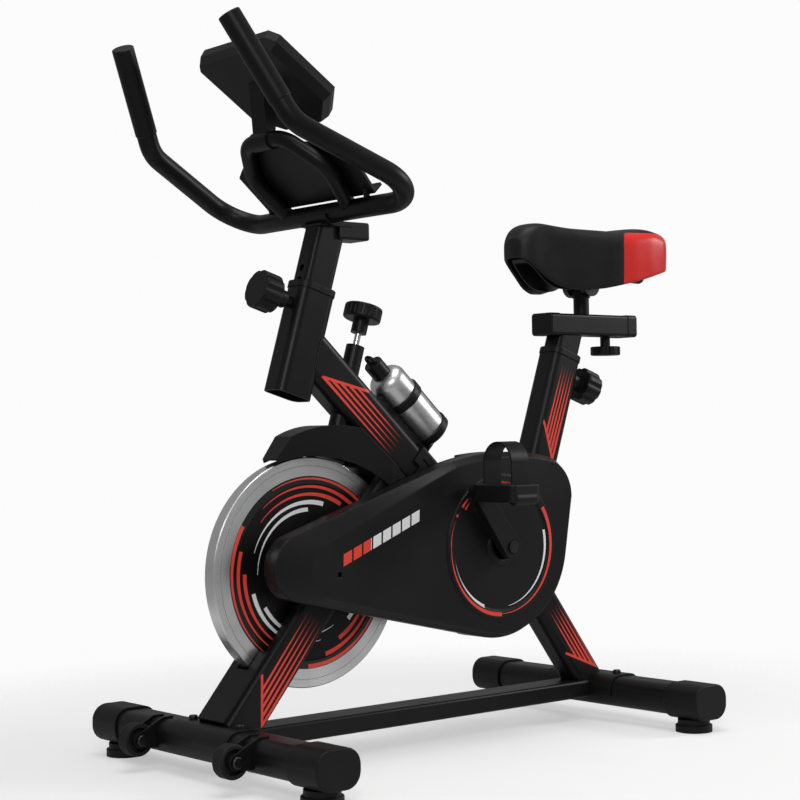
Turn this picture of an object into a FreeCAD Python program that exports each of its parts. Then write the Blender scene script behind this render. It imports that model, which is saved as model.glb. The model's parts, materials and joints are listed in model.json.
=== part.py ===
"""Indoor spin bike, modelled in millimetres.

Frame of reference: +X forward, +Y to the rider's left, +Z up. The pieces are drawn with the
origin on the floor midway between the two stabilizers, then moved along X as they are saved, so
that the origin is under the middle of the whole bike. Every piece is its own STEP file in parts/.
"""
import FreeCAD, Part
import math
import os

os.makedirs("parts", exist_ok=True)

Vector = FreeCAD.Vector
X_AXIS = Vector(1, 0, 0)
Y_AXIS = Vector(0, 1, 0)
Z_AXIS = Vector(0, 0, 1)
ORIGIN = Vector(0, 0, 0)

# ---------------------------------------------------------------- driving dimensions
# Fits. A running fit is a shaft in a bearing or bore; a sliding fit is a post in its bush.
RUNNING_FIT = 0.04
SLIDING_FIT = 0.35
BODY_GAP = 1.0

# Base: two cross tubes (stabilizers) joined by one long beam.
STABILIZER_REACH = 404.0
STABILIZER_Z = 51.5
STABILIZER_DEPTH = 71.0
STABILIZER_HEIGHT = 52.0
STABILIZER_CORNER = 22.0
STABILIZER_WALL = 2.5
FRONT_HALF_LENGTH = 302.0
REAR_HALF_LENGTH = 278.0
END_CAP_LENGTH = 72.0
END_CAP_WALL = 3.6
FOOT_RADIUS = 31.0
FOOT_DISC_HEIGHT = 12.0
FOOT_INSET = 40.0
FOOT_STUD_RADIUS = 5.0
SADDLE_HALF_LENGTH = 80.0
SADDLE_THICKNESS = 3.5
BASE_BEAM_HEIGHT = 30.0
BASE_BEAM_WIDTH = 60.0
BASE_BEAM_Z = 54.5

# Transport wheels in front of the front stabilizer.
WHEEL_RADIUS = 25.5
WHEEL_WIDTH = 22.0
WHEEL_X = 466.0
WHEEL_Y = 128.0
WHEEL_Z = 49.0
WHEEL_BOLT_RADIUS = 4.0
EAR_THICKNESS = 3.0

# Main frame tubes: rounded rectangular section, depth in the side view by width across.
TUBE_DEPTH = 70.0
TUBE_WIDTH = 50.0
TUBE_CORNER = 14.0
TUBE_WALL = 2.5
BEAM_ANGLE = 47.0
BEAM_FOOT = Vector(-205, 0, 244)
BEAM_LENGTH = 604.0
BEAM_TAIL = 26.0
SLEEVE_LEAN = 17.0
SLEEVE_FOOT = Vector(262, 0, 574)
SLEEVE_LENGTH = 170.0
SLEEVE_DEPTH = 68.0
SEAT_LEAN = 19.0
SEAT_TUBE_FOOT = Vector(-214, 0, 282.6)
SEAT_TUBE_LENGTH = 378.0
SEAT_TUBE_DEPTH = 66.0
REAR_LEG_ANGLE = 36.7
REAR_LEG_FOOT = Vector(-389, 0, 58)
REAR_LEG_LENGTH = 290.0
REAR_LEG_DEPTH = 60.0

# Fork: two legs astride the flywheel.
LEG_ANGLE = 40.3
LEG_FOOT = Vector(388, 0, 64.6)
LEG_LENGTH = 540.0
LEG_DEPTH = 60.0
LEG_WIDTH = 26.0
LEG_GAP = 30.0
PLATE_THICKNESS = 5.0

# Flywheel, drive and crank.
FLYWHEEL_X = 233.0
FLYWHEEL_Z = 298.0
FLYWHEEL_RADIUS = 180.0
FLYWHEEL_THICKNESS = 24.5
RIM_WIDTH = 42.0
AXLE_RADIUS = 10.0
BEARING_RADIUS = 21.0
BEARING_WIDTH = 12.0
HOUSING_WALL = 6.0
CRANK_X = -105.0
CRANK_Z = 323.0
CRANK_LENGTH = 115.0
CRANK_ANGLE = 37.0
CRANK_ARM_INNER = 103.0
CRANK_ARM_THICKNESS = 15.0
CRANK_AXLE_RADIUS = 10.0
SHELL_RADIUS = 23.0
SHELL_LEFT = 26.5
SHELL_RIGHT = 84.0
LARGE_PULLEY_RADIUS = 108.0
DRIVE_RATIO = 3.0
PULLEY_WIDTH = 14.0
BELT_PLANE = 63.0
BELT_THICKNESS = 4.0

# Pedals.
PEDAL_INNER = 130.0
PEDAL_WIDTH = 96.0
PEDAL_DEPTH = 62.0
PEDAL_HEIGHT = 28.0
PEDAL_SPINDLE_RADIUS = 7.0
STRAP_WIDTH = 37.0
STRAP_RISE = 82.0
STRAP_THICKNESS = 2.5

# Belt cover on the rider's left.
COVER_BACK = 47.0
COVER_REAR_BACK = 25.0
COVER_SPLIT = 58.0
COVER_SHOULDER = 76.0
COVER_FACE = 90.0
COVER_INSET = 8.0
COVER_SETBACK = 50.0
COVER_WALL = 2.5
COVER_REAR_RADIUS = 157.0
COVER_NOSE_RADIUS = 52.0

# Flywheel guard and the shroud round the beam behind it.
GUARD_REAR_HALF_WIDTH = 46.0
GUARD_FRONT_HALF_WIDTH = 18.0
GUARD_REAR_X = 88.0
GUARD_FRONT_X = 300.0
GUARD_WALL = 2.0
GUARD_INNER_RADIUS = 183.0
SHROUD_START = 266.0
SHROUD_END = 322.0
SHROUD_WALL = 3.0

# Handlebar group.
POST_DEPTH = 56.0
POST_WIDTH = 40.0
POST_WALL = 2.0
POST_BOTTOM = 20.0
BUSH_FLANGE = 11.0
BUSH_SPIGOT = 45.0
BUSH_LIP = 1.5
BAR_RADIUS = 16.0
BAR_WALL = 2.0
BAR_X = 190.0
BAR_Z = 862.0
GRIP_RADIUS = 17.4
GRIP_LENGTH = 190.0
OUTER_BEND = Vector(171, 249, 865)
MID_BEND = Vector(382, 191, 965)
BAR_TIP = Vector(459, 147, 1115)
OUTER_BEND_RADIUS = 58.0
MID_BEND_RADIUS = 60.0
CONSOLE_BAR_RADIUS = 12.5
CONSOLE_BAR_ROOT_Y = 78.0
CONSOLE_BAR_WAIST_Y = 98.0
CONSOLE_BAR_CROWN_Y = 48.0
CONSOLE_BAR_RISE = 152.0
CONSOLE_BAR_ANGLE = 45.0
CONSOLE_ANGLE = 33.5
CONSOLE_TOP = Vector(365, 0, 1095)
CONSOLE_LENGTH = 178.0
CONSOLE_HALF_WIDTH = 100.0
CONSOLE_THICKNESS = 30.0
TRAY_HALF_WIDTH = 148.0
TRAY_START = 18.0
TRAY_LENGTH = 116.0
TRAY_THICKNESS = 5.0

# Seat group.
SLIDER_Z = 699.0
SLIDER_FRONT = -294.0
SLIDER_LENGTH = 220.0
SLIDER_WIDTH = 50.0
SLIDER_HEIGHT = 38.0
SLIDER_WALL = 2.5
SLIDER_CAP = 24.0
PILLAR_X = -395.0
PILLAR_RADIUS = 14.0
SLIDER_KNOB_X = -455.0
SLIDE_FORWARD = 45.0
SLIDE_BACK = 25.0
SADDLE_NOSE_X = -222.0
SADDLE_REAR_X = -538.0
SADDLE_HALF_WIDTH = 108.0
SADDLE_SKIRT = 11.0
SADDLE_FLOOR_Z = 811.0
RAIL_Y = 22.0
RAIL_Z = 784.0
RAIL_RADIUS = 4.0
TILT_PIVOT_Z = 770.0

# Pull-pin knobs, resistance knob and brake.
KNOB_RADIUS = 31.0
KNOB_HEAD = 34.0
PIN_RADIUS = 5.0
HANDLEBAR_PIN_AT = 143.0
SEAT_PIN_AT = 350.0
BRAKE_HOUSING_RADIUS = 15.0
BRAKE_HOUSING_START = 222.0
BRAKE_HOUSING_END = 372.0
BRAKE_ROD_RADIUS = 5.0
BRAKE_KNOB_RADIUS = 31.0
BRAKE_KNOB_BOTTOM = 394.0
BRAKE_KNOB_HEIGHT = 46.0
PAD_GAP = 3.0

# Bottle in its cage on top of the beam.
BOTTLE_RADIUS = 32.0
BOTTLE_FOOT = 304.0
BOTTLE_LENGTH = 130.0
BOTTLE_OFFSET = 44.0


# ---------------------------------------------------------------- derived places
def direction(angle):
    """Unit vector in the XZ plane, turned forward from vertical by angle degrees."""
    a = math.radians(angle)
    return Vector(math.sin(a), 0, math.cos(a))


FLYWHEEL_CENTRE = Vector(FLYWHEEL_X, 0, FLYWHEEL_Z)
CRANK_CENTRE = Vector(CRANK_X, 0, CRANK_Z)
SMALL_PULLEY_RADIUS = LARGE_PULLEY_RADIUS / DRIVE_RATIO
PEDAL_OFFSET = direction(CRANK_ANGLE) * CRANK_LENGTH
BRAKE_AXIS = direction(-SLEEVE_LEAN)
BEAM_AXIS = direction(BEAM_ANGLE)
SLEEVE_AXIS = direction(-SLEEVE_LEAN)
SEAT_AXIS = direction(-SEAT_LEAN)
FOOT_STUB_TOP = STABILIZER_Z - STABILIZER_HEIGHT / 2 - END_CAP_WALL
# The pieces are drawn about the middle of the base and saved about the middle of the whole bike.
OVERALL_MIDDLE_X = (WHEEL_X + WHEEL_RADIUS + SADDLE_REAR_X) / 2


# ---------------------------------------------------------------- shape helpers
def save(name, shape):
    """Write one named piece to parts/, with the origin under the middle of the bike."""
    centred = shape.copy()
    centred.translate(X_AXIS * -OVERALL_MIDDLE_X)
    centred.exportStep("parts/" + name + ".step")


def group(shapes):
    """Separate solids that share one named piece."""
    return Part.makeCompound(shapes)


def cut_all(shape, tools):
    """Subtract every tool from shape."""
    for tool in tools:
        shape = shape.cut(tool)
    return largest(shape)


def largest(shape):
    """Keep the biggest solid of a result that may have lost its off-cuts."""
    solids = sorted(shape.Solids, key=lambda s: s.Volume)
    return solids[-1]


def rounded_face(depth, width, corner):
    """Rounded rectangle in the XY plane: depth along X, width along Y."""
    box = Part.makeBox(depth, width, 1, Vector(-depth / 2, -width / 2, 0))
    upright = [e for e in box.Edges if abs(e.tangentAt(e.FirstParameter).z) > 0.99]
    solid = box.makeFillet(corner, upright)
    flat = [f for f in solid.Faces if abs(f.normalAt(0, 0).z) > 0.99]
    return min(flat, key=lambda f: f.CenterOfMass.z)


def bar(depth, width, corner, length):
    """Solid rounded bar along +Z from the origin."""
    return rounded_face(depth, width, corner).extrude(Vector(0, 0, length))


def tube(depth, width, corner, wall, length):
    """Hollow rounded bar along +Z from the origin."""
    hollow = bar(depth - 2 * wall, width - 2 * wall, corner - wall, length)
    return bar(depth, width, corner, length).cut(hollow)


def lean(shape, foot, angle):
    """Turn a piece built along +Z forward by angle and stand it at foot."""
    placed = shape.copy()
    placed.rotate(ORIGIN, Y_AXIS, angle)
    placed.translate(foot)
    return placed


def rod(radius, start, end):
    """Round bar between two points."""
    return Part.makeCylinder(radius, (end - start).Length, start, end - start)


def disc(radius, low_y, high_y, centre):
    """Round bar along Y between two Y values, centred on a point's X and Z."""
    start = Vector(centre.x, low_y, centre.z)
    return Part.makeCylinder(radius, high_y - low_y, start, Y_AXIS)


def ring(outer, inner, low_y, high_y, centre):
    """Round tube along Y."""
    return disc(outer, low_y, high_y, centre).cut(disc(inner, low_y - 1, high_y + 1, centre))


def across(face, low_y, high_y):
    """Extrude a face drawn in the XZ plane at y = 0 from low_y to high_y."""
    moved = face.copy()
    moved.translate(Vector(0, low_y, 0))
    return moved.extrude(Vector(0, high_y - low_y, 0))


def outline_face(points):
    """Straight-sided face in the XZ plane through (x, z) points."""
    corners = [Vector(x, 0, z) for x, z in points]
    return Part.Face(Part.makePolygon(corners + corners[:1]))


def mirrored(shape):
    """The same piece on the other side of the mid-plane, as a real mirrored solid."""
    return shape.mirror(ORIGIN, Y_AXIS)


def bent_path(points, radii):
    """Wire of straight runs joined by tangent arcs at the inner points."""
    edges = []
    last = points[0]
    for before, corner, after, radius in zip(points, points[1:], points[2:], radii):
        into = (corner - before).normalize()
        out = (after - corner).normalize()
        turn = into.getAngle(out)
        reach = radius * math.tan(turn / 2)
        start = corner - into * reach
        end = corner + out * reach
        inward = (out - into).normalize()
        middle = corner + inward * (radius / math.cos(turn / 2) - radius)
        if (start - last).Length > 0.01:
            edges.append(Part.LineSegment(last, start).toShape())
        edges.append(Part.Arc(start, middle, end).toShape())
        last = end
    edges.append(Part.LineSegment(last, points[-1]).toShape())
    return Part.Wire(edges)


def pipe(path, radius, wall=0):
    """Round tube or rod swept along a wire."""
    start = path.Edges[0].valueAt(path.Edges[0].FirstParameter)
    heading = path.Edges[0].tangentAt(path.Edges[0].FirstParameter)
    outer = path.makePipe(Part.Face(Part.Wire(Part.makeCircle(radius, start, heading))))
    if not wall:
        return outer
    inner = path.makePipe(Part.Face(Part.Wire(Part.makeCircle(radius - wall, start, heading))))
    return outer.cut(inner)


def lobed_knob(radius, height, lobes, edge):
    """Grip knob along +Z: a disc with finger hollows round its edge."""
    knob = Part.makeCylinder(radius, height)
    knob = knob.makeFillet(edge, [e for e in knob.Edges if e.Closed])
    hollow_radius = radius * 0.30
    for i in range(lobes):
        a = 2 * math.pi * i / lobes
        spot = Vector(math.cos(a), math.sin(a), 0) * (radius + hollow_radius * 0.62)
        knob = knob.cut(Part.makeCylinder(hollow_radius, height + 2, spot - Z_AXIS))
    return knob


# ---------------------------------------------------------------- base
def stabilizer_bar(x, half_length, grow=0.0):
    """Solid envelope of a stabilizer tube, grown evenly by grow."""
    solid = bar(STABILIZER_DEPTH + 2 * grow, STABILIZER_HEIGHT + 2 * grow,
                STABILIZER_CORNER + grow, 2 * half_length)
    solid.rotate(ORIGIN, X_AXIS, 90)
    solid.translate(Vector(x, half_length, STABILIZER_Z))
    return solid


def foot_places():
    """Name, X and Y of each levelling foot."""
    places = []
    for end, x, half in (("front", STABILIZER_REACH, FRONT_HALF_LENGTH),
                         ("rear", -STABILIZER_REACH, REAR_HALF_LENGTH)):
        places.append(("foot_" + end + "_left", x, half - FOOT_INSET))
        places.append(("foot_" + end + "_right", x, -half + FOOT_INSET))
    return places


def foot_hole(x, y):
    """Clearance hole for a foot's stud, up through cap and tube wall."""
    height = STABILIZER_HEIGHT / 2 + END_CAP_WALL
    start = Vector(x, y, STABILIZER_Z - height - 1)
    return Part.makeCylinder(FOOT_STUD_RADIUS + RUNNING_FIT, height, start)


def stabilizer(x, half_length):
    """Cross tube with holes for its feet and its two clamp bolts."""
    tube_half = half_length - END_CAP_WALL
    solid = stabilizer_bar(x, tube_half)
    solid = solid.cut(stabilizer_bar(x, tube_half + 1, -STABILIZER_WALL))
    holes = [foot_hole(x, s * (half_length - FOOT_INSET)) for s in (1, -1)]
    holes += [clamp_bolt_hole(x, s) for s in (1, -1)]
    return cut_all(solid, holes)


def clamp_bolt_hole(x, side):
    """Vertical hole for a clamp bolt through tube and saddle bracket."""
    y = side * (SADDLE_HALF_LENGTH - 18)
    start = Vector(x, y, STABILIZER_Z)
    return Part.makeCylinder(4.0, STABILIZER_HEIGHT, start)


def clamp_bolt(x, side):
    """Domed bolt that ties a saddle bracket to its stabilizer."""
    y = side * (SADDLE_HALF_LENGTH - 18)
    seat = STABILIZER_Z + STABILIZER_HEIGHT / 2 + SADDLE_THICKNESS
    shank = Part.makeCylinder(4.0, 16, Vector(x, y, seat - 16))
    head = Part.makeCylinder(7.0, 6.0, Vector(x, y, seat))
    head = head.makeFillet(2.4, [max(head.Edges, key=lambda e: e.CenterOfMass.z)])
    nut = Part.makeCylinder(7.5, 6.0, Vector(x, y, seat - SADDLE_THICKNESS - STABILIZER_WALL - 6))
    return shank.fuse([head, nut]).removeSplitter()


def end_cap(x, half_length, side):
    """Moulded cap over one end of a stabilizer."""
    inner_end = half_length - END_CAP_LENGTH
    outer = stabilizer_bar(x, half_length, END_CAP_WALL)
    rim = [e for e in outer.Edges if abs(abs(e.CenterOfMass.y) - half_length) < 0.1]
    outer = outer.makeFillet(3.0, rim)
    keep = Part.makeBox(200, END_CAP_LENGTH, 200,
                        Vector(x - 100, inner_end, STABILIZER_Z - 100))
    cap = outer.common(keep)
    cap = cap.cut(stabilizer_bar(x, half_length - END_CAP_WALL))
    cap = cap.cut(foot_hole(x, half_length - FOOT_INSET))
    cap = largest(cap)
    return cap if side > 0 else mirrored(cap)


def levelling_foot(x, y):
    """Round foot: wide pad, shorter stub and a threaded stud up into the tube."""
    pad = Part.makeCylinder(FOOT_RADIUS, FOOT_DISC_HEIGHT, Vector(x, y, 0))
    pad = pad.makeFillet(1.6, [max(pad.Edges, key=lambda e: e.CenterOfMass.z)])
    stub_top = FOOT_STUB_TOP - 0.5
    stub = Part.makeCylinder(FOOT_RADIUS - 4, stub_top, Vector(x, y, 0))
    stud = Part.makeCylinder(FOOT_STUD_RADIUS, STABILIZER_Z - 12, Vector(x, y, 0))
    return pad.fuse([stub, stud]).removeSplitter()


def saddle_bracket(x):
    """Half-round steel saddle over the middle of a stabilizer."""
    shell = stabilizer_bar(x, SADDLE_HALF_LENGTH, SADDLE_THICKNESS)
    shell = shell.cut(stabilizer_bar(x, SADDLE_HALF_LENGTH + 1))
    keep = Part.makeBox(200, 400, 100, Vector(x - 100, -200, STABILIZER_Z - 6))
    shell = shell.common(keep)
    return cut_all(shell, [clamp_bolt_hole(x, s) for s in (1, -1)])


def saddle_envelope(x):
    """Solid outer form of a saddle bracket, for trimming what lands on it."""
    return stabilizer_bar(x, SADDLE_HALF_LENGTH, SADDLE_THICKNESS)


def base_beam_bar():
    """Solid envelope of the base beam."""
    solid = bar(BASE_BEAM_HEIGHT, BASE_BEAM_WIDTH, 5.0, 2 * STABILIZER_REACH)
    solid.rotate(ORIGIN, Y_AXIS, 90)
    solid.translate(Vector(-STABILIZER_REACH, 0, BASE_BEAM_Z))
    return solid


def base_beam():
    """Flat rectangular tube between the two saddle brackets."""
    hollow = bar(BASE_BEAM_HEIGHT - 2 * TUBE_WALL, BASE_BEAM_WIDTH - 2 * TUBE_WALL, 2.5,
                 2 * STABILIZER_REACH)
    hollow.rotate(ORIGIN, Y_AXIS, 90)
    hollow.translate(Vector(-STABILIZER_REACH, 0, BASE_BEAM_Z))
    trims = [saddle_envelope(s * STABILIZER_REACH) for s in (1, -1)]
    return cut_all(base_beam_bar().cut(hollow), trims)


def wheel_centre(side):
    """Centre of a transport wheel."""
    return Vector(WHEEL_X, side * WHEEL_Y, WHEEL_Z)


def wheel_fork(side):
    """Two steel ears from the stabilizer out to a transport wheel's bolt."""
    ears = []
    for face in (-1, 1):
        inner = WHEEL_WIDTH / 2 + BODY_GAP
        low = min(face * inner, face * (inner + EAR_THICKNESS))
        eye = disc(12.0, 0, EAR_THICKNESS, wheel_centre(side))
        root = STABILIZER_Z + STABILIZER_HEIGHT / 2
        web = outline_face([(WHEEL_X - 4, WHEEL_Z - 11.5), (WHEEL_X + 8, WHEEL_Z + 9),
                            (STABILIZER_REACH + 22, root + 3), (STABILIZER_REACH + 4, root + 3),
                            (STABILIZER_REACH + 4, STABILIZER_Z - 20)])
        ear = eye.fuse(across(web, 0, EAR_THICKNESS)).removeSplitter()
        ear = ear.cut(disc(WHEEL_BOLT_RADIUS, -1, EAR_THICKNESS + 1, wheel_centre(side)))
        ear.translate(Vector(0, side * WHEEL_Y + low, 0))
        ears.append(cut_all(ear, [stabilizer_bar(STABILIZER_REACH, FRONT_HALF_LENGTH)]))
    return ears


def wheel_bolt(side):
    """Domed bolt that carries one transport wheel."""
    reach = WHEEL_WIDTH / 2 + BODY_GAP + EAR_THICKNESS
    y = side * WHEEL_Y
    shank = disc(WHEEL_BOLT_RADIUS, y - reach, y + reach, wheel_centre(side))
    head = disc(9.0, y + reach, y + reach + 6, wheel_centre(side))
    head = head.makeFillet(2.6, [max(head.Edges, key=lambda e: e.CenterOfMass.y)])
    nut = disc(7.0, y - reach - 6, y - reach, wheel_centre(side))
    return shank.fuse([head, nut]).removeSplitter()


def transport_wheel(side):
    """Moulded wheel with a ridged tread."""
    y = side * WHEEL_Y
    half = WHEEL_WIDTH / 2
    wheel = disc(WHEEL_RADIUS, y - half, y + half, wheel_centre(side))
    wheel = wheel.makeFillet(2.5, [e for e in wheel.Edges if e.Closed])
    for face in (-1, 1):
        low = y + face * (half - 4) - 4
        wheel = wheel.cut(ring(19.0, 11.0, low, low + 8, wheel_centre(side)))
    for offset in (-5.0, 0.0, 5.0):
        wheel = wheel.cut(ring(WHEEL_RADIUS + 2, WHEEL_RADIUS - 1.2, y + offset - 1,
                               y + offset + 1, wheel_centre(side)))
    bore = disc(WHEEL_BOLT_RADIUS + RUNNING_FIT, y - 20, y + 20, wheel_centre(side))
    return wheel.cut(bore)


# ---------------------------------------------------------------- main frame
def beam_bar(grow=0.0):
    """Solid envelope of the upper beam, grown evenly by grow."""
    solid = bar(TUBE_DEPTH + 2 * grow, TUBE_WIDTH + 2 * grow, TUBE_CORNER + grow,
                BEAM_LENGTH + BEAM_TAIL)
    solid.translate(Vector(0, 0, -BEAM_TAIL))
    return lean(solid, BEAM_FOOT, BEAM_ANGLE)


def sleeve_bar():
    """Solid envelope of the handlebar sleeve."""
    return lean(bar(SLEEVE_DEPTH, TUBE_WIDTH, TUBE_CORNER, SLEEVE_LENGTH), SLEEVE_FOOT,
                -SLEEVE_LEAN)


def seat_tube_bar():
    """Solid envelope of the seat tube."""
    return lean(bar(SEAT_TUBE_DEPTH, TUBE_WIDTH, TUBE_CORNER, SEAT_TUBE_LENGTH),
                SEAT_TUBE_FOOT, -SEAT_LEAN)


def on_beam(along, rise):
    """Point above the beam's centre line: along from its foot, rise towards its top face."""
    return BEAM_FOOT + BEAM_AXIS * along + direction(BEAM_ANGLE - 90) * rise


def brake_point(along):
    """Point on the brake's axis, measured from the flywheel's centre."""
    return FLYWHEEL_CENTRE + BRAKE_AXIS * along


def upper_beam():
    """Long tube from the handlebar sleeve down to the rear leg, bored for shell and brake."""
    hollow = bar(TUBE_DEPTH - 2 * TUBE_WALL, TUBE_WIDTH - 2 * TUBE_WALL,
                 TUBE_CORNER - TUBE_WALL, BEAM_LENGTH + BEAM_TAIL)
    hollow.translate(Vector(0, 0, TUBE_WALL - BEAM_TAIL))
    solid = beam_bar().cut(lean(hollow, BEAM_FOOT, BEAM_ANGLE))
    shell = disc(SHELL_RADIUS, -TUBE_WIDTH, TUBE_WIDTH, CRANK_CENTRE)
    housing = rod(BRAKE_HOUSING_RADIUS, brake_point(BRAKE_HOUSING_START),
                  brake_point(BRAKE_HOUSING_END))
    return cut_all(solid, [sleeve_bar(), shell, housing])


def handlebar_sleeve():
    """Outer tube, open at the bottom, that holds the handlebar post."""
    solid = tube(SLEEVE_DEPTH, TUBE_WIDTH, TUBE_CORNER, TUBE_WALL, SLEEVE_LENGTH)
    pin = Part.makeCylinder(9.0, 60, Vector(0, 0, HANDLEBAR_PIN_AT), X_AXIS)
    return lean(solid.cut(pin), SLEEVE_FOOT, -SLEEVE_LEAN)


def seat_tube():
    """Outer tube that holds the seat post, welded on top of the beam."""
    solid = tube(SEAT_TUBE_DEPTH, TUBE_WIDTH, TUBE_CORNER, TUBE_WALL, SEAT_TUBE_LENGTH)
    pin = Part.makeCylinder(9.0, 60, Vector(0, 0, SEAT_PIN_AT), X_AXIS * -1)
    solid = lean(solid.cut(pin), SEAT_TUBE_FOOT, -SEAT_LEAN)
    return cut_all(solid, [beam_bar()])


def rear_leg():
    """Tube from the beam's lower end down to the rear of the base."""
    solid = tube(REAR_LEG_DEPTH, TUBE_WIDTH, TUBE_CORNER, TUBE_WALL, REAR_LEG_LENGTH)
    solid = lean(solid, REAR_LEG_FOOT, REAR_LEG_ANGLE)
    trims = [beam_bar(), seat_tube_bar(), base_beam_bar(), saddle_envelope(-STABILIZER_REACH)]
    return cut_all(solid, trims)


def leg_bar(side, grow=0.0):
    """Solid envelope of one fork leg."""
    solid = bar(LEG_DEPTH + 2 * grow, LEG_WIDTH + 2 * grow, 8.0 + grow, LEG_LENGTH)
    solid.translate(Vector(0, side * (LEG_GAP + LEG_WIDTH) / 2, 0))
    return lean(solid, LEG_FOOT, -LEG_ANGLE)


def housing_span(side):
    """Lowest and highest Y of a flywheel bearing housing."""
    near = LEG_GAP / 2 + 0.5
    far = LEG_GAP / 2 + LEG_WIDTH
    return (near, far) if side > 0 else (-far, -near)


def fork_leg(side):
    """Rectangular tube from the front bracket up to the crown, notched for its housing."""
    solid = tube(LEG_DEPTH, LEG_WIDTH, 8.0, TUBE_WALL, LEG_LENGTH)
    solid.translate(Vector(0, side * (LEG_GAP + LEG_WIDTH) / 2, 0))
    solid = lean(solid, LEG_FOOT, -LEG_ANGLE)
    notch = disc(BEARING_RADIUS + HOUSING_WALL, -60, 60, FLYWHEEL_CENTRE)
    above = leg_top_trim()
    trims = [saddle_envelope(STABILIZER_REACH), base_beam_bar(), notch, above]
    return cut_all(solid, trims)


def leg_top_trim():
    """Everything above the underside of the crown plate."""
    block = Part.makeBox(400, 300, 900, Vector(-400 + TUBE_DEPTH / 2 + PLATE_THICKNESS, -150, -100))
    return lean(block, BEAM_FOOT, BEAM_ANGLE)


def crown_plate():
    """Plate under the beam that the two fork legs are welded to."""
    span = LEG_GAP + 2 * LEG_WIDTH
    middle = leg_meets_beam()
    plate = Part.makeBox(PLATE_THICKNESS, span, LEG_DEPTH + 14,
                         Vector(TUBE_DEPTH / 2, -span / 2, middle - LEG_DEPTH / 2 - 7))
    return lean(plate, BEAM_FOOT, BEAM_ANGLE)


def leg_meets_beam():
    """Distance along the beam at which the fork legs' centre line reaches its underside."""
    a = math.radians(BEAM_ANGLE + LEG_ANGLE)
    gap = BEAM_FOOT - LEG_FOOT
    along_leg = gap.dot(direction(-LEG_ANGLE))
    off_leg = gap.dot(direction(90 - LEG_ANGLE))
    depth = TUBE_DEPTH / 2 + PLATE_THICKNESS
    return (-off_leg - depth * math.cos(a)) / math.sin(a) if along_leg else 0.0


def fork_front_plate():
    """Plate across the front of the two legs, notched where the flywheel passes."""
    width = LEG_GAP + 2 * LEG_WIDTH - 14
    plate = Part.makeBox(PLATE_THICKNESS, width, 128,
                         Vector(LEG_DEPTH / 2, -width / 2, 0))
    notch = Part.makeBox(40, LEG_GAP, 50, Vector(LEG_DEPTH / 2 - 10, -LEG_GAP / 2, 92))
    plate = lean(plate.cut(notch), LEG_FOOT, -LEG_ANGLE)
    return cut_all(plate, [saddle_envelope(STABILIZER_REACH)])


def bearing_housing(side):
    """Steel ring welded in the leg's notch, which holds a flywheel bearing."""
    low, high = housing_span(side)
    return ring(BEARING_RADIUS + HOUSING_WALL, BEARING_RADIUS, low, high, FLYWHEEL_CENTRE)


def bottom_bracket_shell():
    """Long tube through the beam that holds the crank's two bearings."""
    return ring(SHELL_RADIUS, SHELL_RADIUS - 3, -SHELL_RIGHT, SHELL_LEFT, CRANK_CENTRE)


def bearings():
    """Two flywheel bearings and two crank bearings, as plain sealed rings."""
    rings = []
    for side in (1, -1):
        low, high = housing_span(side)
        middle = (low + high) / 2
        rings.append(ring(BEARING_RADIUS, AXLE_RADIUS + RUNNING_FIT, middle - BEARING_WIDTH / 2,
                          middle + BEARING_WIDTH / 2, FLYWHEEL_CENTRE))
    for low in (-SHELL_RIGHT, SHELL_LEFT - BEARING_WIDTH):
        rings.append(ring(SHELL_RADIUS - 3, CRANK_AXLE_RADIUS + RUNNING_FIT, low,
                          low + BEARING_WIDTH, CRANK_CENTRE))
    return rings


def post_bush(foot, angle, length, outer_depth, outer_width, inner_depth, inner_width):
    """Plastic bush in the mouth of a tube, with a lip that covers the tube's edge."""
    spigot = bar(outer_depth - 2 * TUBE_WALL, outer_width - 2 * TUBE_WALL,
                 TUBE_CORNER - TUBE_WALL, BUSH_SPIGOT)
    spigot.translate(Vector(0, 0, length - BUSH_SPIGOT))
    flange = bar(outer_depth + 2 * BUSH_LIP, outer_width + 2 * BUSH_LIP, TUBE_CORNER + BUSH_LIP,
                 BUSH_FLANGE)
    top = [e for e in flange.Edges if abs(e.CenterOfMass.z - BUSH_FLANGE) < 0.01]
    flange = flange.makeFillet(1.5, top)
    flange.translate(Vector(0, 0, length))
    bore = bar(inner_depth + 2 * SLIDING_FIT, inner_width + 2 * SLIDING_FIT,
               TUBE_CORNER - TUBE_WALL - 2, length + 100)
    return lean(spigot.fuse(flange).cut(bore), foot, angle)


def sleeve_bush():
    """Bush in the handlebar sleeve, with a hole for the pull pin."""
    bush = post_bush(ORIGIN, 0, SLEEVE_LENGTH, SLEEVE_DEPTH, TUBE_WIDTH, POST_DEPTH, POST_WIDTH)
    pin = Part.makeCylinder(9.0, 60, Vector(0, 0, HANDLEBAR_PIN_AT), X_AXIS)
    return lean(bush.cut(pin), SLEEVE_FOOT, -SLEEVE_LEAN)


def seat_bush():
    """Bush in the seat tube, with a hole for the pull pin."""
    bush = post_bush(ORIGIN, 0, SEAT_TUBE_LENGTH, SEAT_TUBE_DEPTH, TUBE_WIDTH, POST_DEPTH,
                     POST_WIDTH)
    pin = Part.makeCylinder(9.0, 60, Vector(0, 0, SEAT_PIN_AT), X_AXIS * -1)
    return lean(bush.cut(pin), SEAT_TUBE_FOOT, -SEAT_LEAN)


# ---------------------------------------------------------------- pull pins
def pin_barrel(reach):
    """Threaded barrel on a tube's face, along +Z from the face."""
    barrel = Part.makeCylinder(9.0, reach + TUBE_WALL, Vector(0, 0, -TUBE_WALL))
    return barrel.cut(Part.makeCylinder(PIN_RADIUS + RUNNING_FIT, reach + 20, Vector(0, 0, -10)))


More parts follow.
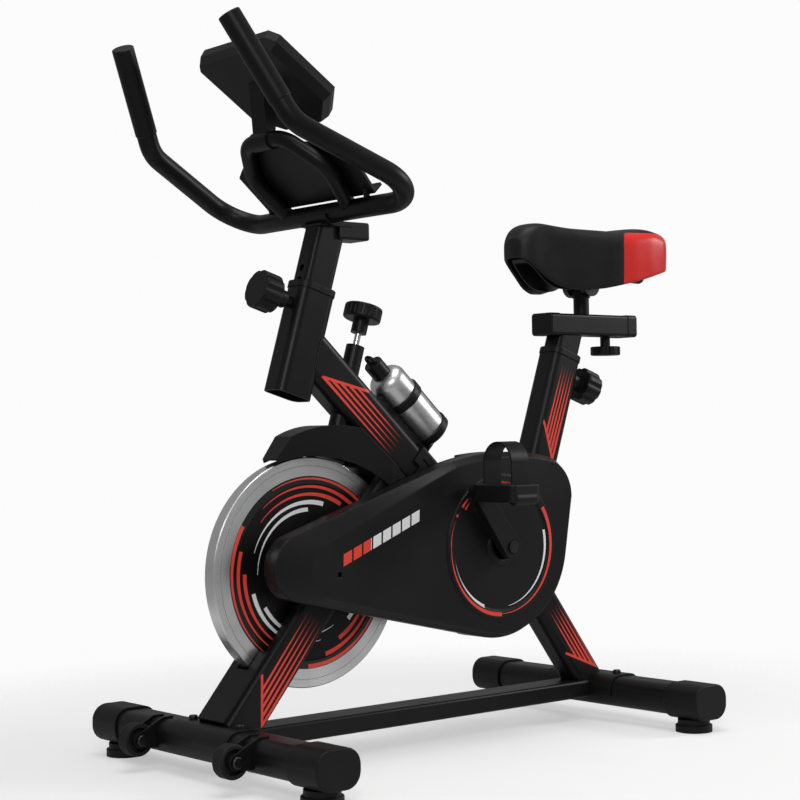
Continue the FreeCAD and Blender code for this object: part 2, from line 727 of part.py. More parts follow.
def pull_knob(inward, reach):
    """Pull-pin knob along +Z: a fluted head, a neck round the barrel and a pin going in."""
    neck_inner = 9.0 + SLIDING_FIT
    neck = Part.makeCylinder(14.0, 22).cut(Part.makeCylinder(neck_inner, 18))
    neck.translate(Vector(0, 0, reach - 10))
    head = lobed_knob(KNOB_RADIUS, KNOB_HEAD, 8, 4.0)
    head.translate(Vector(0, 0, reach + 10))
    pin = Part.makeCylinder(PIN_RADIUS, inward + reach + 12, Vector(0, 0, -inward))
    return neck.fuse([head, pin]).removeSplitter()


def place_on_front(shape, along):
    """Put a piece built along +Z on the handlebar sleeve's front face."""
    placed = shape.copy()
    placed.rotate(ORIGIN, Y_AXIS, 90)
    placed.translate(Vector(SLEEVE_DEPTH / 2, 0, along))
    return lean(placed, SLEEVE_FOOT, -SLEEVE_LEAN)


def place_on_rear(shape, along):
    """Put a piece built along +Z on the seat tube's rear face."""
    placed = shape.copy()
    placed.rotate(ORIGIN, Y_AXIS, -90)
    placed.translate(Vector(-SEAT_TUBE_DEPTH / 2, 0, along))
    return lean(placed, SEAT_TUBE_FOOT, -SEAT_LEAN)


# ---------------------------------------------------------------- flywheel
def flywheel_rim():
    """Heavy steel rim with bevelled edges."""
    half = FLYWHEEL_THICKNESS / 2
    rim = disc(FLYWHEEL_RADIUS, -half, half, FLYWHEEL_CENTRE)
    rim = rim.makeChamfer(1.5, [e for e in rim.Edges if e.Closed])
    return rim.cut(disc(FLYWHEEL_RADIUS - RIM_WIDTH, -half - 1, half + 1, FLYWHEEL_CENTRE))


def flywheel_disc():
    """Black centre disc, slightly sunk between the rim's faces, with its hub."""
    half = FLYWHEEL_THICKNESS / 2 - 1.5
    web = disc(FLYWHEEL_RADIUS - RIM_WIDTH, -half, half, FLYWHEEL_CENTRE)
    hub = disc(26.0, -LEG_GAP / 2 + 1, LEG_GAP / 2 - 1, FLYWHEEL_CENTRE)
    return web.fuse(hub).cut(disc(AXLE_RADIUS, -40, 40, FLYWHEEL_CENTRE)).removeSplitter()


def flywheel_axle():
    """Axle that turns with the flywheel, and its two end nuts."""
    right_end = -housing_span(1)[1] - 4
    left_end = BELT_PLANE + PULLEY_WIDTH / 2 + 1.5
    axle = disc(AXLE_RADIUS, right_end, left_end, FLYWHEEL_CENTRE)
    nuts = []
    for low in (right_end - 8, left_end):
        nuts.append(hexagon(15.0, low, low + 8, FLYWHEEL_CENTRE))
    return [axle] + nuts


def hexagon(radius, low_y, high_y, centre):
    """Hexagonal nut along Y."""
    points = []
    for i in range(6):
        a = math.radians(60 * i)
        points.append((centre.x + radius * math.cos(a), centre.z + radius * math.sin(a)))
    return across(outline_face(points), low_y, high_y)


def pulley(radius, bore, centre, spokes):
    """Flat-belt pulley with two thin flanges, a hub and, where large, round windows."""
    low = BELT_PLANE - PULLEY_WIDTH / 2
    high = BELT_PLANE + PULLEY_WIDTH / 2
    wheel = disc(radius, low, high, centre)
    for start in (low - 1.5, high):
        wheel = wheel.fuse(disc(radius + 3.0, start, start + 1.5, centre))
    if spokes:
        for start in (low - 2, BELT_PLANE + 3):
            depth = BELT_PLANE - 3 - (low - 2)
            wheel = wheel.cut(ring(radius - 8, bore + 16, start, start + depth, centre))
        for i in range(spokes):
            a = 2 * math.pi * i / spokes
            spot = centre + Vector(math.cos(a), 0, math.sin(a)) * (radius * 0.6)
            wheel = wheel.cut(disc(radius * 0.19, low - 3, high + 3, spot))
    return wheel.cut(disc(bore, low - 5, high + 5, centre)).removeSplitter()


def belt_loop(small, large):
    """Face bounded by two arcs and the two outer tangents, round both pulleys."""
    span = CRANK_CENTRE - FLYWHEEL_CENTRE
    base = math.atan2(span.z, span.x)
    spread = math.acos((large - small) / span.Length)

    def at(centre, radius, angle):
        return centre + Vector(math.cos(angle), 0, math.sin(angle)) * radius

    over = base + math.pi - spread
    under = base + math.pi + spread
    a1 = at(CRANK_CENTRE, large, over)
    a2 = at(CRANK_CENTRE, large, base)
    a3 = at(CRANK_CENTRE, large, under)
    b1 = at(FLYWHEEL_CENTRE, small, under)
    b2 = at(FLYWHEEL_CENTRE, small, base + math.pi)
    b3 = at(FLYWHEEL_CENTRE, small, over)
    edges = [Part.Arc(a1, a2, a3).toShape(), Part.LineSegment(a3, b1).toShape(),
             Part.Arc(b1, b2, b3).toShape(), Part.LineSegment(b3, a1).toShape()]
    return Part.Face(Part.Wire(edges))


def drive_belt():
    """Closed belt round both pulleys, a hair clear of them."""
    gap = 0.3
    half = PULLEY_WIDTH / 2 - 1
    inner = belt_loop(SMALL_PULLEY_RADIUS + gap, LARGE_PULLEY_RADIUS + gap)
    outer = belt_loop(SMALL_PULLEY_RADIUS + gap + BELT_THICKNESS,
                      LARGE_PULLEY_RADIUS + gap + BELT_THICKNESS)
    solid = across(outer, BELT_PLANE - half, BELT_PLANE + half)
    return solid.cut(across(inner, BELT_PLANE - half - 1, BELT_PLANE + half + 1))


# ---------------------------------------------------------------- crank and pedals
def crank_axle():
    """Crank axle with the bolt caps on its ends."""
    outer = CRANK_ARM_INNER + CRANK_ARM_THICKNESS
    axle = disc(CRANK_AXLE_RADIUS, -outer + 2, outer - 2, CRANK_CENTRE)
    caps = []
    for side in (1, -1):
        low = min(side * (outer - 2), side * (outer + 3))
        cap = disc(CRANK_AXLE_RADIUS, low, low + 5, CRANK_CENTRE)
        caps.append(cap)
    return axle.fuse(caps).removeSplitter()


def crank_arm(side):
    """Flat forged arm, wide at the axle and narrower at the pedal."""
    low = CRANK_ARM_INNER if side > 0 else -CRANK_ARM_INNER - CRANK_ARM_THICKNESS
    high = low + CRANK_ARM_THICKNESS
    tip = CRANK_CENTRE + PEDAL_OFFSET * side
    root = disc(19.0, low, high, CRANK_CENTRE)
    end = disc(14.0, low, high, tip)
    normal = direction(CRANK_ANGLE + 90)
    a = CRANK_CENTRE + normal * 18.9
    b = CRANK_CENTRE - normal * 18.9
    c = tip - normal * 13.9
    d = tip + normal * 13.9
    web = across(outline_face([(p.x, p.z) for p in (a, b, c, d)]), low, high)
    arm = root.fuse([end, web]).removeSplitter()
    bores = [disc(CRANK_AXLE_RADIUS, low - 1, high + 1, CRANK_CENTRE),
             disc(PEDAL_SPINDLE_RADIUS, low - 1, high + 1, tip)]
    return cut_all(arm, bores)


def pedal_centre(side):
    """Middle of a pedal on its spindle."""
    return CRANK_CENTRE + PEDAL_OFFSET * side + Y_AXIS * side * (PEDAL_INNER + PEDAL_WIDTH / 2)


def pedal_spindle(side):
    """Steel spindle screwed into the crank arm."""
    inner = CRANK_ARM_INNER
    outer = PEDAL_INNER + PEDAL_WIDTH - 8
    tip = CRANK_CENTRE + PEDAL_OFFSET * side
    low, high = (inner, outer) if side > 0 else (-outer, -inner)
    spindle = disc(PEDAL_SPINDLE_RADIUS, low, high, tip)
    near = CRANK_ARM_INNER + CRANK_ARM_THICKNESS
    collar_low = near if side > 0 else -near - 6
    return spindle.fuse(disc(11.0, collar_low, collar_low + 6, tip)).removeSplitter()


def pedal(side):
    """Platform pedal with slotted treads and a rounded buckle lobe outboard."""
    centre = pedal_centre(side)
    block = Part.makeBox(PEDAL_DEPTH, PEDAL_WIDTH, PEDAL_HEIGHT,
                         centre - Vector(PEDAL_DEPTH, PEDAL_WIDTH, PEDAL_HEIGHT) * 0.5)
    upright = [e for e in block.Edges if abs(e.tangentAt(e.FirstParameter).z) > 0.99]
    block = block.makeFillet(9.0, upright)
    block = block.makeFillet(2.5, [e for e in block.Edges
                                   if abs(e.tangentAt(e.FirstParameter).z) < 0.1])
    for along in (-1, 1):
        slot = Part.makeBox(13, PEDAL_WIDTH - 26, PEDAL_HEIGHT + 2,
                            centre + Vector(along * 17 - 6.5, 13 - PEDAL_WIDTH / 2,
                                            -PEDAL_HEIGHT / 2 - 1))
        block = block.cut(slot)
    lobe_y = centre.y + side * (PEDAL_WIDTH / 2 - 9)
    lobe_start = Vector(centre.x - 23, lobe_y, centre.z - 8)
    lobe = Part.makeCylinder(11.0, 46, lobe_start, X_AXIS)
    block = block.fuse(lobe.makeFillet(3.0, [e for e in lobe.Edges if e.Closed]))
    block = block.removeSplitter()
    bore_y = sorted((side * (PEDAL_INNER - 1), side * (PEDAL_INNER + PEDAL_WIDTH - 7)))
    bore = disc(PEDAL_SPINDLE_RADIUS + RUNNING_FIT, bore_y[0], bore_y[1], centre)
    block = block.cut(bore)
    return cut_all(block, [strap_band(side)])


def strap_band(side):
    """Solid band of the toe strap: up one side of the pedal, over the foot and down."""
    centre = pedal_centre(side)
    half = PEDAL_WIDTH / 2 - 15
    low = PEDAL_HEIGHT / 2 - 6
    radius = half - 2
    path = [Vector(0, -half, low), Vector(0, -half, STRAP_RISE - radius), Vector(0, 0, STRAP_RISE),
            Vector(0, half, STRAP_RISE - radius), Vector(0, half, low)]
    line_up = Part.LineSegment(path[0], path[1]).toShape()
    crown = Part.Arc(path[1], path[2], path[3]).toShape()
    line_down = Part.LineSegment(path[3], path[4]).toShape()
    outer = Part.Wire([line_up, crown, line_down])
    band = Part.Face(Part.Wire(outer.Edges + [Part.LineSegment(path[4], path[0]).toShape()]))
    solid = band.extrude(Vector(STRAP_WIDTH, 0, 0))
    inner = band.makeOffset2D(-STRAP_THICKNESS).extrude(Vector(STRAP_WIDTH + 2, 0, 0))
    inner.translate(Vector(-1, 0, 0))
    opening = Part.makeBox(STRAP_WIDTH + 2, 2 * (half - STRAP_THICKNESS), 20,
                           Vector(-1, -half + STRAP_THICKNESS, low - 10))
    solid = solid.cut(inner).cut(opening)
    solid.translate(centre - X_AXIS * STRAP_WIDTH / 2)
    return largest(solid)


# ---------------------------------------------------------------- belt cover
def cover_outline(inset, setback):
    """Teardrop outline of the belt cover in the XZ plane.

    The whole outline is drawn in by inset, and its nose is set back by setback.
    """
    rear = CRANK_CENTRE + Vector(-2, 0, 5)
    r = COVER_REAR_RADIUS - inset
    nose = Vector(293 - setback, 0, 311 - setback * 0.12)
    nose_radius = COVER_NOSE_RADIUS - inset

    def at(centre, radius, degrees):
        a = math.radians(degrees)
        return centre + Vector(math.cos(a), 0, math.sin(a)) * radius

    under_rear = at(rear, r, 281)
    rear_low = at(rear, r, 190)
    shoulder = Vector(-279 + inset, 0, 400)
    shoulder_mid = Vector(-267 + inset * 0.8, 0, 442 - inset * 0.8)
    shoulder_top = Vector(-230, 0, 468 - inset)
    crown = Vector(-110, 0, 478 - inset)
    crown_end = Vector(-10, 0, 464 - inset)
    nose_top = at(nose, nose_radius, 73)
    nose_low = at(nose, nose_radius, 283)
    edges = [
        Part.Arc(nose_low, at(nose, nose_radius, 0), nose_top).toShape(),
        Part.LineSegment(nose_top, crown_end).toShape(),
        Part.Arc(crown_end, crown, shoulder_top).toShape(),
        Part.Arc(shoulder_top, shoulder_mid, shoulder).toShape(),
        Part.LineSegment(shoulder, rear_low).toShape(),
        Part.Arc(rear_low, at(rear, r, 236), under_rear).toShape(),
        Part.LineSegment(under_rear, nose_low).toShape(),
    ]
    return Part.Face(Part.Wire(edges))


def at_y(face, y):
    """A copy of a face moved to a given Y."""
    moved = face.copy()
    moved.translate(Vector(0, y, 0))
    return moved


def cover_dome(inset_outline, top_outline, low, shoulder, high):
    """Straight side wall up to the shoulder, then a bevel up to the flat face."""
    side = across(inset_outline, low, shoulder)
    base = at_y(inset_outline, shoulder).OuterWire
    top = at_y(top_outline, high).OuterWire
    return side.fuse(Part.makeLoft([base, top], True, True)).removeSplitter()


def rear_lobe_limit():
    """Region behind the fork legs where the cover reaches further inboard."""
    return Part.makeBox(400, 200, 600, Vector(-462, -100, 0))


def belt_cover_outer():
    """Outer half of the belt cover, with the ring round the crank opening."""
    outline = cover_outline(0, 0)
    inside = cover_outline(COVER_WALL, 0)
    top = cover_outline(COVER_INSET, COVER_SETBACK)
    inner_top = cover_outline(COVER_INSET + COVER_WALL, COVER_SETBACK)
    shell = cover_dome(outline, top, COVER_SPLIT, COVER_SHOULDER, COVER_FACE)
    hollow = cover_dome(inside, inner_top, COVER_SPLIT - 1, COVER_SHOULDER - 1,
                        COVER_FACE - COVER_WALL)
    boss = ring(118.0, 106.0, COVER_FACE - 1, COVER_FACE + 2.5, CRANK_CENTRE)
    hub = ring(30.0, 22.0, COVER_FACE - COVER_WALL, COVER_FACE + 4, CRANK_CENTRE)
    shell = shell.cut(hollow).fuse([boss, hub]).removeSplitter()
    crank_hole = disc(22.0, 0, 200, CRANK_CENTRE)
    axle_hole = disc(4.5, 80, 200, FLYWHEEL_CENTRE)
    return cut_all(shell, [crank_hole, axle_hole])


def belt_cover_inner():
    """Inner half of the belt cover, which bolts to the frame."""
    outline = cover_outline(0, 0)
    inside = cover_outline(COVER_WALL, 0)
    rear = rear_lobe_limit()
    shell = across(outline, COVER_BACK, COVER_SPLIT)
    shell = shell.fuse(across(outline, COVER_REAR_BACK, COVER_SPLIT).common(rear))
    hollow = across(inside, COVER_BACK + COVER_WALL, COVER_SPLIT + 1)
    inner_rear = rear.copy()
    inner_rear.translate(Vector(-COVER_WALL, 0, 0))
    lobe = across(inside, COVER_REAR_BACK + COVER_WALL, COVER_SPLIT + 1).common(inner_rear)
    shell = shell.cut(hollow).cut(lobe).removeSplitter()
    crank_hole = disc(SHELL_RADIUS + 1, 0, 200, CRANK_CENTRE)
    axle_hole = disc(AXLE_RADIUS + 8, 0, 200, FLYWHEEL_CENTRE)
    return cut_all(shell, [crank_hole, axle_hole])


def cover_screws():
    """Screw heads round the belt cover's back, clear of the frame's tubes."""
    places = [(300, 348), (312, 276), (50, 428), (70, 222), (-150, 462), (-190, 212), (-105, 186)]
    screws = []
    for x, z in places:
        back = COVER_REAR_BACK if x < -62 else COVER_BACK
        screws.append(disc(3.0, back - 1.9, back, Vector(x, 0, z)))
    return screws


# ---------------------------------------------------------------- guard and shroud
def guard_face(margin):
    """Side view of the flywheel guard: a fender that rises to the beam, shrunk by margin."""
    c = FLYWHEEL_CENTRE

    def at(radius, degrees):
        a = math.radians(degrees)
        return c + Vector(math.cos(a), 0, math.sin(a)) * radius

    tip_low = at(GUARD_INNER_RADIUS, 70)
    tip = at(GUARD_INNER_RADIUS + 7, 70)
    brow = at(GUARD_INNER_RADIUS + 33, 80)
    roof = at(GUARD_INNER_RADIUS + 59, 114)
    back = at(GUARD_INNER_RADIUS + 74, 132)
    heel = at(GUARD_INNER_RADIUS + 8, 139)
    edges = [
        Part.LineSegment(tip_low, tip).toShape(),
        Part.LineSegment(tip, brow).toShape(),
        Part.Arc(brow, at(GUARD_INNER_RADIUS + 49, 99), roof).toShape(),
        Part.LineSegment(roof, back).toShape(),
        Part.LineSegment(back, heel).toShape(),
        Part.Arc(heel, at(GUARD_INNER_RADIUS, 110), tip_low).toShape(),
    ]
    face = Part.Face(Part.Wire(edges))
    return face.makeOffset2D(-margin) if margin else face


def guard_plan(margin):
    """Plan of the guard: narrow over the front of the flywheel, wide over the fork's legs."""
    slope = (GUARD_REAR_HALF_WIDTH - GUARD_FRONT_HALF_WIDTH) / (GUARD_FRONT_X - GUARD_REAR_X)
    far_x = GUARD_FRONT_X + 20
    front = GUARD_FRONT_HALF_WIDTH - slope * 20 - margin
    rear = GUARD_REAR_HALF_WIDTH - margin
    low_x = GUARD_REAR_X - 60
    corners = [Vector(far_x, front, 300), Vector(GUARD_REAR_X, rear, 300),
               Vector(low_x, rear, 300), Vector(low_x, -rear, 300),
               Vector(GUARD_REAR_X, -rear, 300), Vector(far_x, -front, 300)]
    face = Part.Face(Part.makePolygon(corners + corners[:1]))
    return face.extrude(Vector(0, 0, 300))


def above_beam_underside():
    """Everything above the plane of the upper beam's lower face."""
    block = Part.makeBox(400, 300, 900, Vector(-400 + TUBE_DEPTH / 2, -150, -100))
    return lean(block, BEAM_FOOT, BEAM_ANGLE)


def flywheel_guard():
    """Moulded fender over the top of the flywheel, open below, flared out over the fork."""
    shell = across(guard_face(0), -60, 60).common(guard_plan(0))
    hollow = across(guard_face(GUARD_WALL), -60, 60).common(guard_plan(GUARD_WALL))
    below = disc(GUARD_INNER_RADIUS + 4, -60, 60, FLYWHEEL_CENTRE).common(guard_plan(GUARD_WALL))
    behind = across(outline_face([(40, 380), (118, 380), (118, 560), (40, 560)]), -60, 60)
    housing = rod(BRAKE_HOUSING_RADIUS + 0.5, brake_point(100), brake_point(400))
    tools = [hollow, below, behind.common(guard_plan(GUARD_WALL)), above_beam_underside()]
    return cut_all(shell, tools + [housing])


def beam_shroud():
    """Moulded sleeve round the beam between guard and belt cover, with a cut triangle."""
    length = SHROUD_END - SHROUD_START
    fit = bar(TUBE_DEPTH, TUBE_WIDTH, TUBE_CORNER, length)
    solid = bar(TUBE_DEPTH + 2 * SHROUD_WALL, TUBE_WIDTH + 2 * SHROUD_WALL, 6.0, length)
    shell = solid.cut(fit)
    for side in (1, -1):
        a = Vector(-20, side * 26.6, 20)
        b = Vector(-20, side * 26.6, 44)
        c = Vector(8, side * 26.6, 32)
        prism = Part.Face(Part.makePolygon([a, b, c, a])).extrude(Vector(0, side * 10, 0))
        shell = shell.cut(prism)
    shell.translate(Vector(0, 0, SHROUD_START))
    shell = lean(shell, BEAM_FOOT, BEAM_ANGLE)
    keep_off = across(guard_face(0), -60, 60)
    legs = [leg_bar(s, 0.3) for s in (1, -1)]
    return cut_all(shell, legs + [crown_plate(), keep_off])


# ---------------------------------------------------------------- brake
def brake_housing():
    """Steel tube through the beam that guides the brake rod."""
    outer = rod(BRAKE_HOUSING_RADIUS, brake_point(BRAKE_HOUSING_START),
                brake_point(BRAKE_HOUSING_END))
    inner = rod(BRAKE_ROD_RADIUS + SLIDING_FIT, brake_point(0), brake_point(600))
    return outer.cut(inner)


def brake_rod():
    """Bright rod from the resistance knob down to the brake pad."""
    bottom = brake_point(FLYWHEEL_RADIUS + PAD_GAP + 10)
    return rod(BRAKE_ROD_RADIUS, bottom, brake_point(BRAKE_KNOB_BOTTOM + 10))


def brake_pad():
    """Felt pad in its holder, shaped to the flywheel's rim."""
    block = bar(46, 26, 6.0, 20)
    block = lean(block, brake_point(FLYWHEEL_RADIUS + PAD_GAP - 4), -SLEEVE_LEAN)
    rim = disc(FLYWHEEL_RADIUS + PAD_GAP, -40, 40, FLYWHEEL_CENTRE)
    bore = rod(BRAKE_ROD_RADIUS + RUNNING_FIT, brake_point(FLYWHEEL_RADIUS + PAD_GAP + 10),
               brake_point(300))
    return cut_all(block, [rim, bore])


def resistance_knob():
    """Round knob on the brake rod: turned to set the load, pushed down to stop the wheel."""
    neck_height = 22.0
    neck = Part.makeCylinder(13.0, neck_height + 1)
    head_height = BRAKE_KNOB_HEIGHT - neck_height
    head = Part.makeCylinder(BRAKE_KNOB_RADIUS, head_height, Vector(0, 0, neck_height))
    head = head.makeFillet(4.0, [e for e in head.Edges if e.Closed])
    for i in range(24):
        a = 2 * math.pi * i / 24
        spot = Vector(math.cos(a), math.sin(a), 0) * (BRAKE_KNOB_RADIUS + 1.4)
        head = head.cut(Part.makeCylinder(2.4, head_height - 10, spot + Vector(0, 0, neck_height + 5)))
    bore = Part.makeCylinder(BRAKE_ROD_RADIUS + RUNNING_FIT, 10 + RUNNING_FIT)
    knob = neck.fuse(head).removeSplitter().cut(bore)
    return lean(knob, brake_point(BRAKE_KNOB_BOTTOM), -SLEEVE_LEAN)


# ---------------------------------------------------------------- bottle
def bottle_axis_point(along, rise=0.0):
    """Point on the bottle's axis, along the beam from its foot."""
    return on_beam(along, TUBE_DEPTH / 2 + BOTTLE_OFFSET + rise)


def bottle_body():
    """Aluminium drink bottle with a rounded foot and shoulder."""
    r = BOTTLE_RADIUS
    n = BOTTLE_LENGTH
    profile = [Vector(0, 0, 0), Vector(r - 6, 0, 0), Vector(r, 0, 6), Vector(r, 0, n),
               Vector(14, 0, n + 16), Vector(13, 0, n + 30), Vector(0, 0, n + 30)]
    edges = [Part.LineSegment(profile[0], profile[1]).toShape(),
             Part.Arc(profile[1], Vector(r - 1.8, 0, 1.8), profile[2]).toShape(),
             Part.LineSegment(profile[2], profile[3]).toShape(),
             Part.Arc(profile[3], Vector(r - 5.5, 0, n + 11), profile[4]).toShape(),
             Part.LineSegment(profile[4], profile[5]).toShape(),
             Part.LineSegment(profile[5], profile[6]).toShape(),
             Part.LineSegment(profile[6], profile[0]).toShape()]
    body = Part.Face(Part.Wire(edges)).revolve(ORIGIN, Z_AXIS, 360)
    return lean(body, bottle_axis_point(BOTTLE_FOOT), BEAM_ANGLE)


def bottle_cap():
    """Screw cap over the bottle's neck, with a carrying loop."""
    low = BOTTLE_LENGTH + 17
    cap = Part.makeCylinder(16.0, 26, Vector(0, 0, low))
    cap = cap.makeFillet(2.5, [max(cap.Edges, key=lambda e: e.CenterOfMass.z)])
    loop = Part.makeTorus(7.6, 3.2, Vector(0, 0, low + 31), X_AXIS)
    loop = loop.cut(Part.makeCylinder(16.0, 20, Vector(0, 0, low + 6)))
    cap = cap.fuse(largest(loop)).removeSplitter()
    bore = Part.makeCone(14.1, 13.1, 14, Vector(0, 0, low - 1))
    return lean(cap.cut(bore), bottle_axis_point(BOTTLE_FOOT), BEAM_ANGLE)


def bottle_cage():
    """Moulded cage: base plate on the beam, shelf under the bottle and two bands round it."""
    r = BOTTLE_RADIUS + 0.5
    beam_face = BOTTLE_OFFSET
    over_shroud = BOTTLE_OFFSET - SHROUD_WALL - 0.5
    plate = Part.makeBox(beam_face - r - 1, 26, 108, Vector(r + 1, -13, 22))
    bridge = Part.makeBox(over_shroud - r - 1, 26, 28, Vector(r + 1, -13, -4))
    shelf = Part.makeBox(over_shroud - 8, 26, 4, Vector(8, -13, -4))
    bands = []
    for low, height in ((6, 12), (84, 14)):
        outer = Part.makeCylinder(r + 3, height, Vector(0, 0, low))
        bands.append(outer.cut(Part.makeCylinder(r, height + 2, Vector(0, 0, low - 1))))
    strut = Part.makeBox(3.2, 12, 92, Vector(-r - 3, -6, 6))
    cage = plate.fuse([bridge, shelf, strut] + bands).removeSplitter()
    cage = cage.cut(Part.makeCylinder(r, BOTTLE_LENGTH, ORIGIN))
    return largest(lean(cage, bottle_axis_point(BOTTLE_FOOT), BEAM_ANGLE))


# ---------------------------------------------------------------- handlebar group
def post_top():
    """Distance along the sleeve's axis at which the post reaches the handlebar's centre."""
    return (BAR_Z - SLEEVE_FOOT.z) / SLEEVE_AXIS.z


def handlebar_post():
    """Inner post with a row of pin holes, cut to seat under the handlebar."""
    length = post_top() - POST_BOTTOM
    solid = tube(POST_DEPTH, POST_WIDTH, 9.0, POST_WALL, length)
    solid.translate(Vector(0, 0, POST_BOTTOM))
    for i in range(-3, 4):
        at = HANDLEBAR_PIN_AT + 20 * i
        if at > POST_BOTTOM + 12:
            solid = solid.cut(Part.makeCylinder(PIN_RADIUS + 0.6, 60, Vector(0, 0, at), X_AXIS))
    solid = lean(solid, SLEEVE_FOOT, -SLEEVE_LEAN)
    above = Part.makeBox(300, 300, 100, Vector(BAR_X - 150, -150, BAR_Z - BAR_RADIUS - 4))
    return cut_all(solid, [above])


def handlebar_path():
    """Centre line of the handlebar, from the left tip round to the right tip."""
    left = [BAR_TIP, MID_BEND, OUTER_BEND]
    right = [Vector(p.x, -p.y, p.z) for p in reversed(left)]
    middle = [Vector(BAR_X, 120, BAR_Z), Vector(BAR_X, -120, BAR_Z)]
    radii = [MID_BEND_RADIUS, OUTER_BEND_RADIUS, 400, 400, OUTER_BEND_RADIUS, MID_BEND_RADIUS]
    return bent_path(left + middle + right, radii)


def handlebar():
    """One bent tube: crossbar, swept arms and upright ends."""
    return pipe(handlebar_path(), BAR_RADIUS, BAR_WALL)


def grip(side):
    """Foam grip over one upright end, with its plug."""
    heading = (MID_BEND - BAR_TIP).normalize()
    reach = (MID_BEND - BAR_TIP).Length
    start = BAR_TIP - heading * 5
    length = min(GRIP_LENGTH, reach - MID_BEND_RADIUS * 0.5)
    solid = rod(GRIP_RADIUS, start, start + heading * length)
    rim = [e for e in solid.Edges if e.Closed]
    solid = solid.makeFillet(2.0, rim)
    solid = solid.cut(rod(BAR_RADIUS, BAR_TIP, BAR_TIP + heading * (length + 20)))
    return solid if side > 0 else mirrored(solid)


def bar_clamp():
    """Saddle plate that seats the handlebar on its post, and the short tail tube behind it."""
    outer = disc(BAR_RADIUS + 4, -36, 36, Vector(BAR_X, 0, BAR_Z))
    inner = disc(BAR_RADIUS, -40, 40, Vector(BAR_X, 0, BAR_Z))
    lower = Part.makeBox(200, 200, 60, Vector(BAR_X - 100, -100, BAR_Z - 63))
    plate = outer.common(lower)
    table = Part.makeBox(64, 52, 4, Vector(BAR_X - 44, -26, BAR_Z - BAR_RADIUS - 4))
    tail = Part.makeBox(62, 50, 29, Vector(BAR_X - 80, -25, BAR_Z - BAR_RADIUS - 24))
    rim = [e for e in tail.Edges if abs(e.tangentAt(e.FirstParameter).x) > 0.99
           or e.CenterOfMass.x < BAR_X - 79]
    tail = tail.makeFillet(4.0, rim)
    post = bar(POST_DEPTH, POST_WIDTH, 9.0, 600)
    post = lean(post, SLEEVE_FOOT, -SLEEVE_LEAN)
    post = post.cut(Part.makeBox(300, 300, 100, Vector(BAR_X - 150, -150, BAR_Z - BAR_RADIUS - 4)))
    whole = plate.fuse([table, tail]).removeSplitter()
    return cut_all(whole, [inner, post])


def console_bar_point(along, y):
    """Point in the console bar's slanted plane."""
    return Vector(BAR_X, y, BAR_Z) + direction(CONSOLE_BAR_ANGLE) * along


def console_bar():
    """Round U-shaped bar on the crossbar, with the bracket that holds the console."""
    waist = CONSOLE_BAR_RISE * 0.55
    points = [console_bar_point(0, CONSOLE_BAR_ROOT_Y),
              console_bar_point(waist, CONSOLE_BAR_WAIST_Y),
              console_bar_point(CONSOLE_BAR_RISE, CONSOLE_BAR_CROWN_Y),
              console_bar_point(CONSOLE_BAR_RISE, -CONSOLE_BAR_CROWN_Y),
              console_bar_point(waist, -CONSOLE_BAR_WAIST_Y),
              console_bar_point(0, -CONSOLE_BAR_ROOT_Y)]
    solid = pipe(bent_path(points, [60, 42, 42, 60]), CONSOLE_BAR_RADIUS)
    crossbar = pipe(handlebar_path(), BAR_RADIUS)
    return cut_all(solid.fuse(console_bracket()).removeSplitter(), [crossbar])


def console_place(shape):
    """Lay a piece built in the console's own plane on the console's slope.

    In that plane +X runs up and forward along the slope, +Z out of the screen side.
    """
    placed = shape.copy()
    placed.rotate(ORIGIN, Y_AXIS, -CONSOLE_ANGLE)
    placed.translate(CONSOLE_TOP)
    return placed


def console_face(inset):
    """Six-sided console outline in its own plane."""
    w = CONSOLE_HALF_WIDTH
    n = CONSOLE_LENGTH
    points = [(0, w - 14), (-14, w), (-n + 42, w), (-n, w * 0.48)]
    points += [(x, -y) for x, y in reversed(points)]
    corners = [Vector(x, y, 0) for x, y in points]
    face = Part.Face(Part.makePolygon(corners + corners[:1]))
    return face.makeOffset2D(-inset) if inset else face


def console_case():
    """Console housing: bevelled back, flat back panel and a recess for the screen."""
    low = console_face(6)
    rim = console_face(0)
    rim.translate(Vector(0, 0, 16))
    back = Part.makeLoft([low.OuterWire, rim.OuterWire], True, True)
    front = rim.extrude(Vector(0, 0, CONSOLE_THICKNESS - 16))
    case = back.fuse(front).removeSplitter()
    window = Part.makeBox(84, 116, 6, Vector(-132, -58, CONSOLE_THICKNESS - 3))
    button = Part.makeCylinder(9.4, 10, Vector(-152, 0, CONSOLE_THICKNESS - 8))
    return console_place(case.cut(window).cut(button))


def console_screen():
    """Clear window of the display."""
    pane = Part.makeBox(84, 116, 2.6, Vector(-132, -58, CONSOLE_THICKNESS - 3))
    return console_place(pane)


def console_button():
    """Round push button below the screen."""
    button = Part.makeCylinder(9.0, 7.5, Vector(-152, 0, CONSOLE_THICKNESS - 5))
    button = button.makeFillet(1.6, [max(button.Edges, key=lambda e: e.CenterOfMass.z)])
    return console_place(button)


def console_bracket():
    """Clip and upright from the console bar's crown to the back of the console."""
    foot = console_bar_point(CONSOLE_BAR_RISE, 0)
    clip = disc(CONSOLE_BAR_RADIUS + 3, -22, 22, foot)
    top = foot + Z_AXIS * 140
    points = [foot - X_AXIS * 8, foot + X_AXIS * 8, top + X_AXIS * 20, top - X_AXIS * 16]
    web = across(outline_face([(p.x, p.z) for p in points]), -18, 18)
    slab = Part.makeBox(400, 400, 200, Vector(-300, -200, 0))
    return cut_all(clip.fuse(web).removeSplitter(), [console_place(slab)])


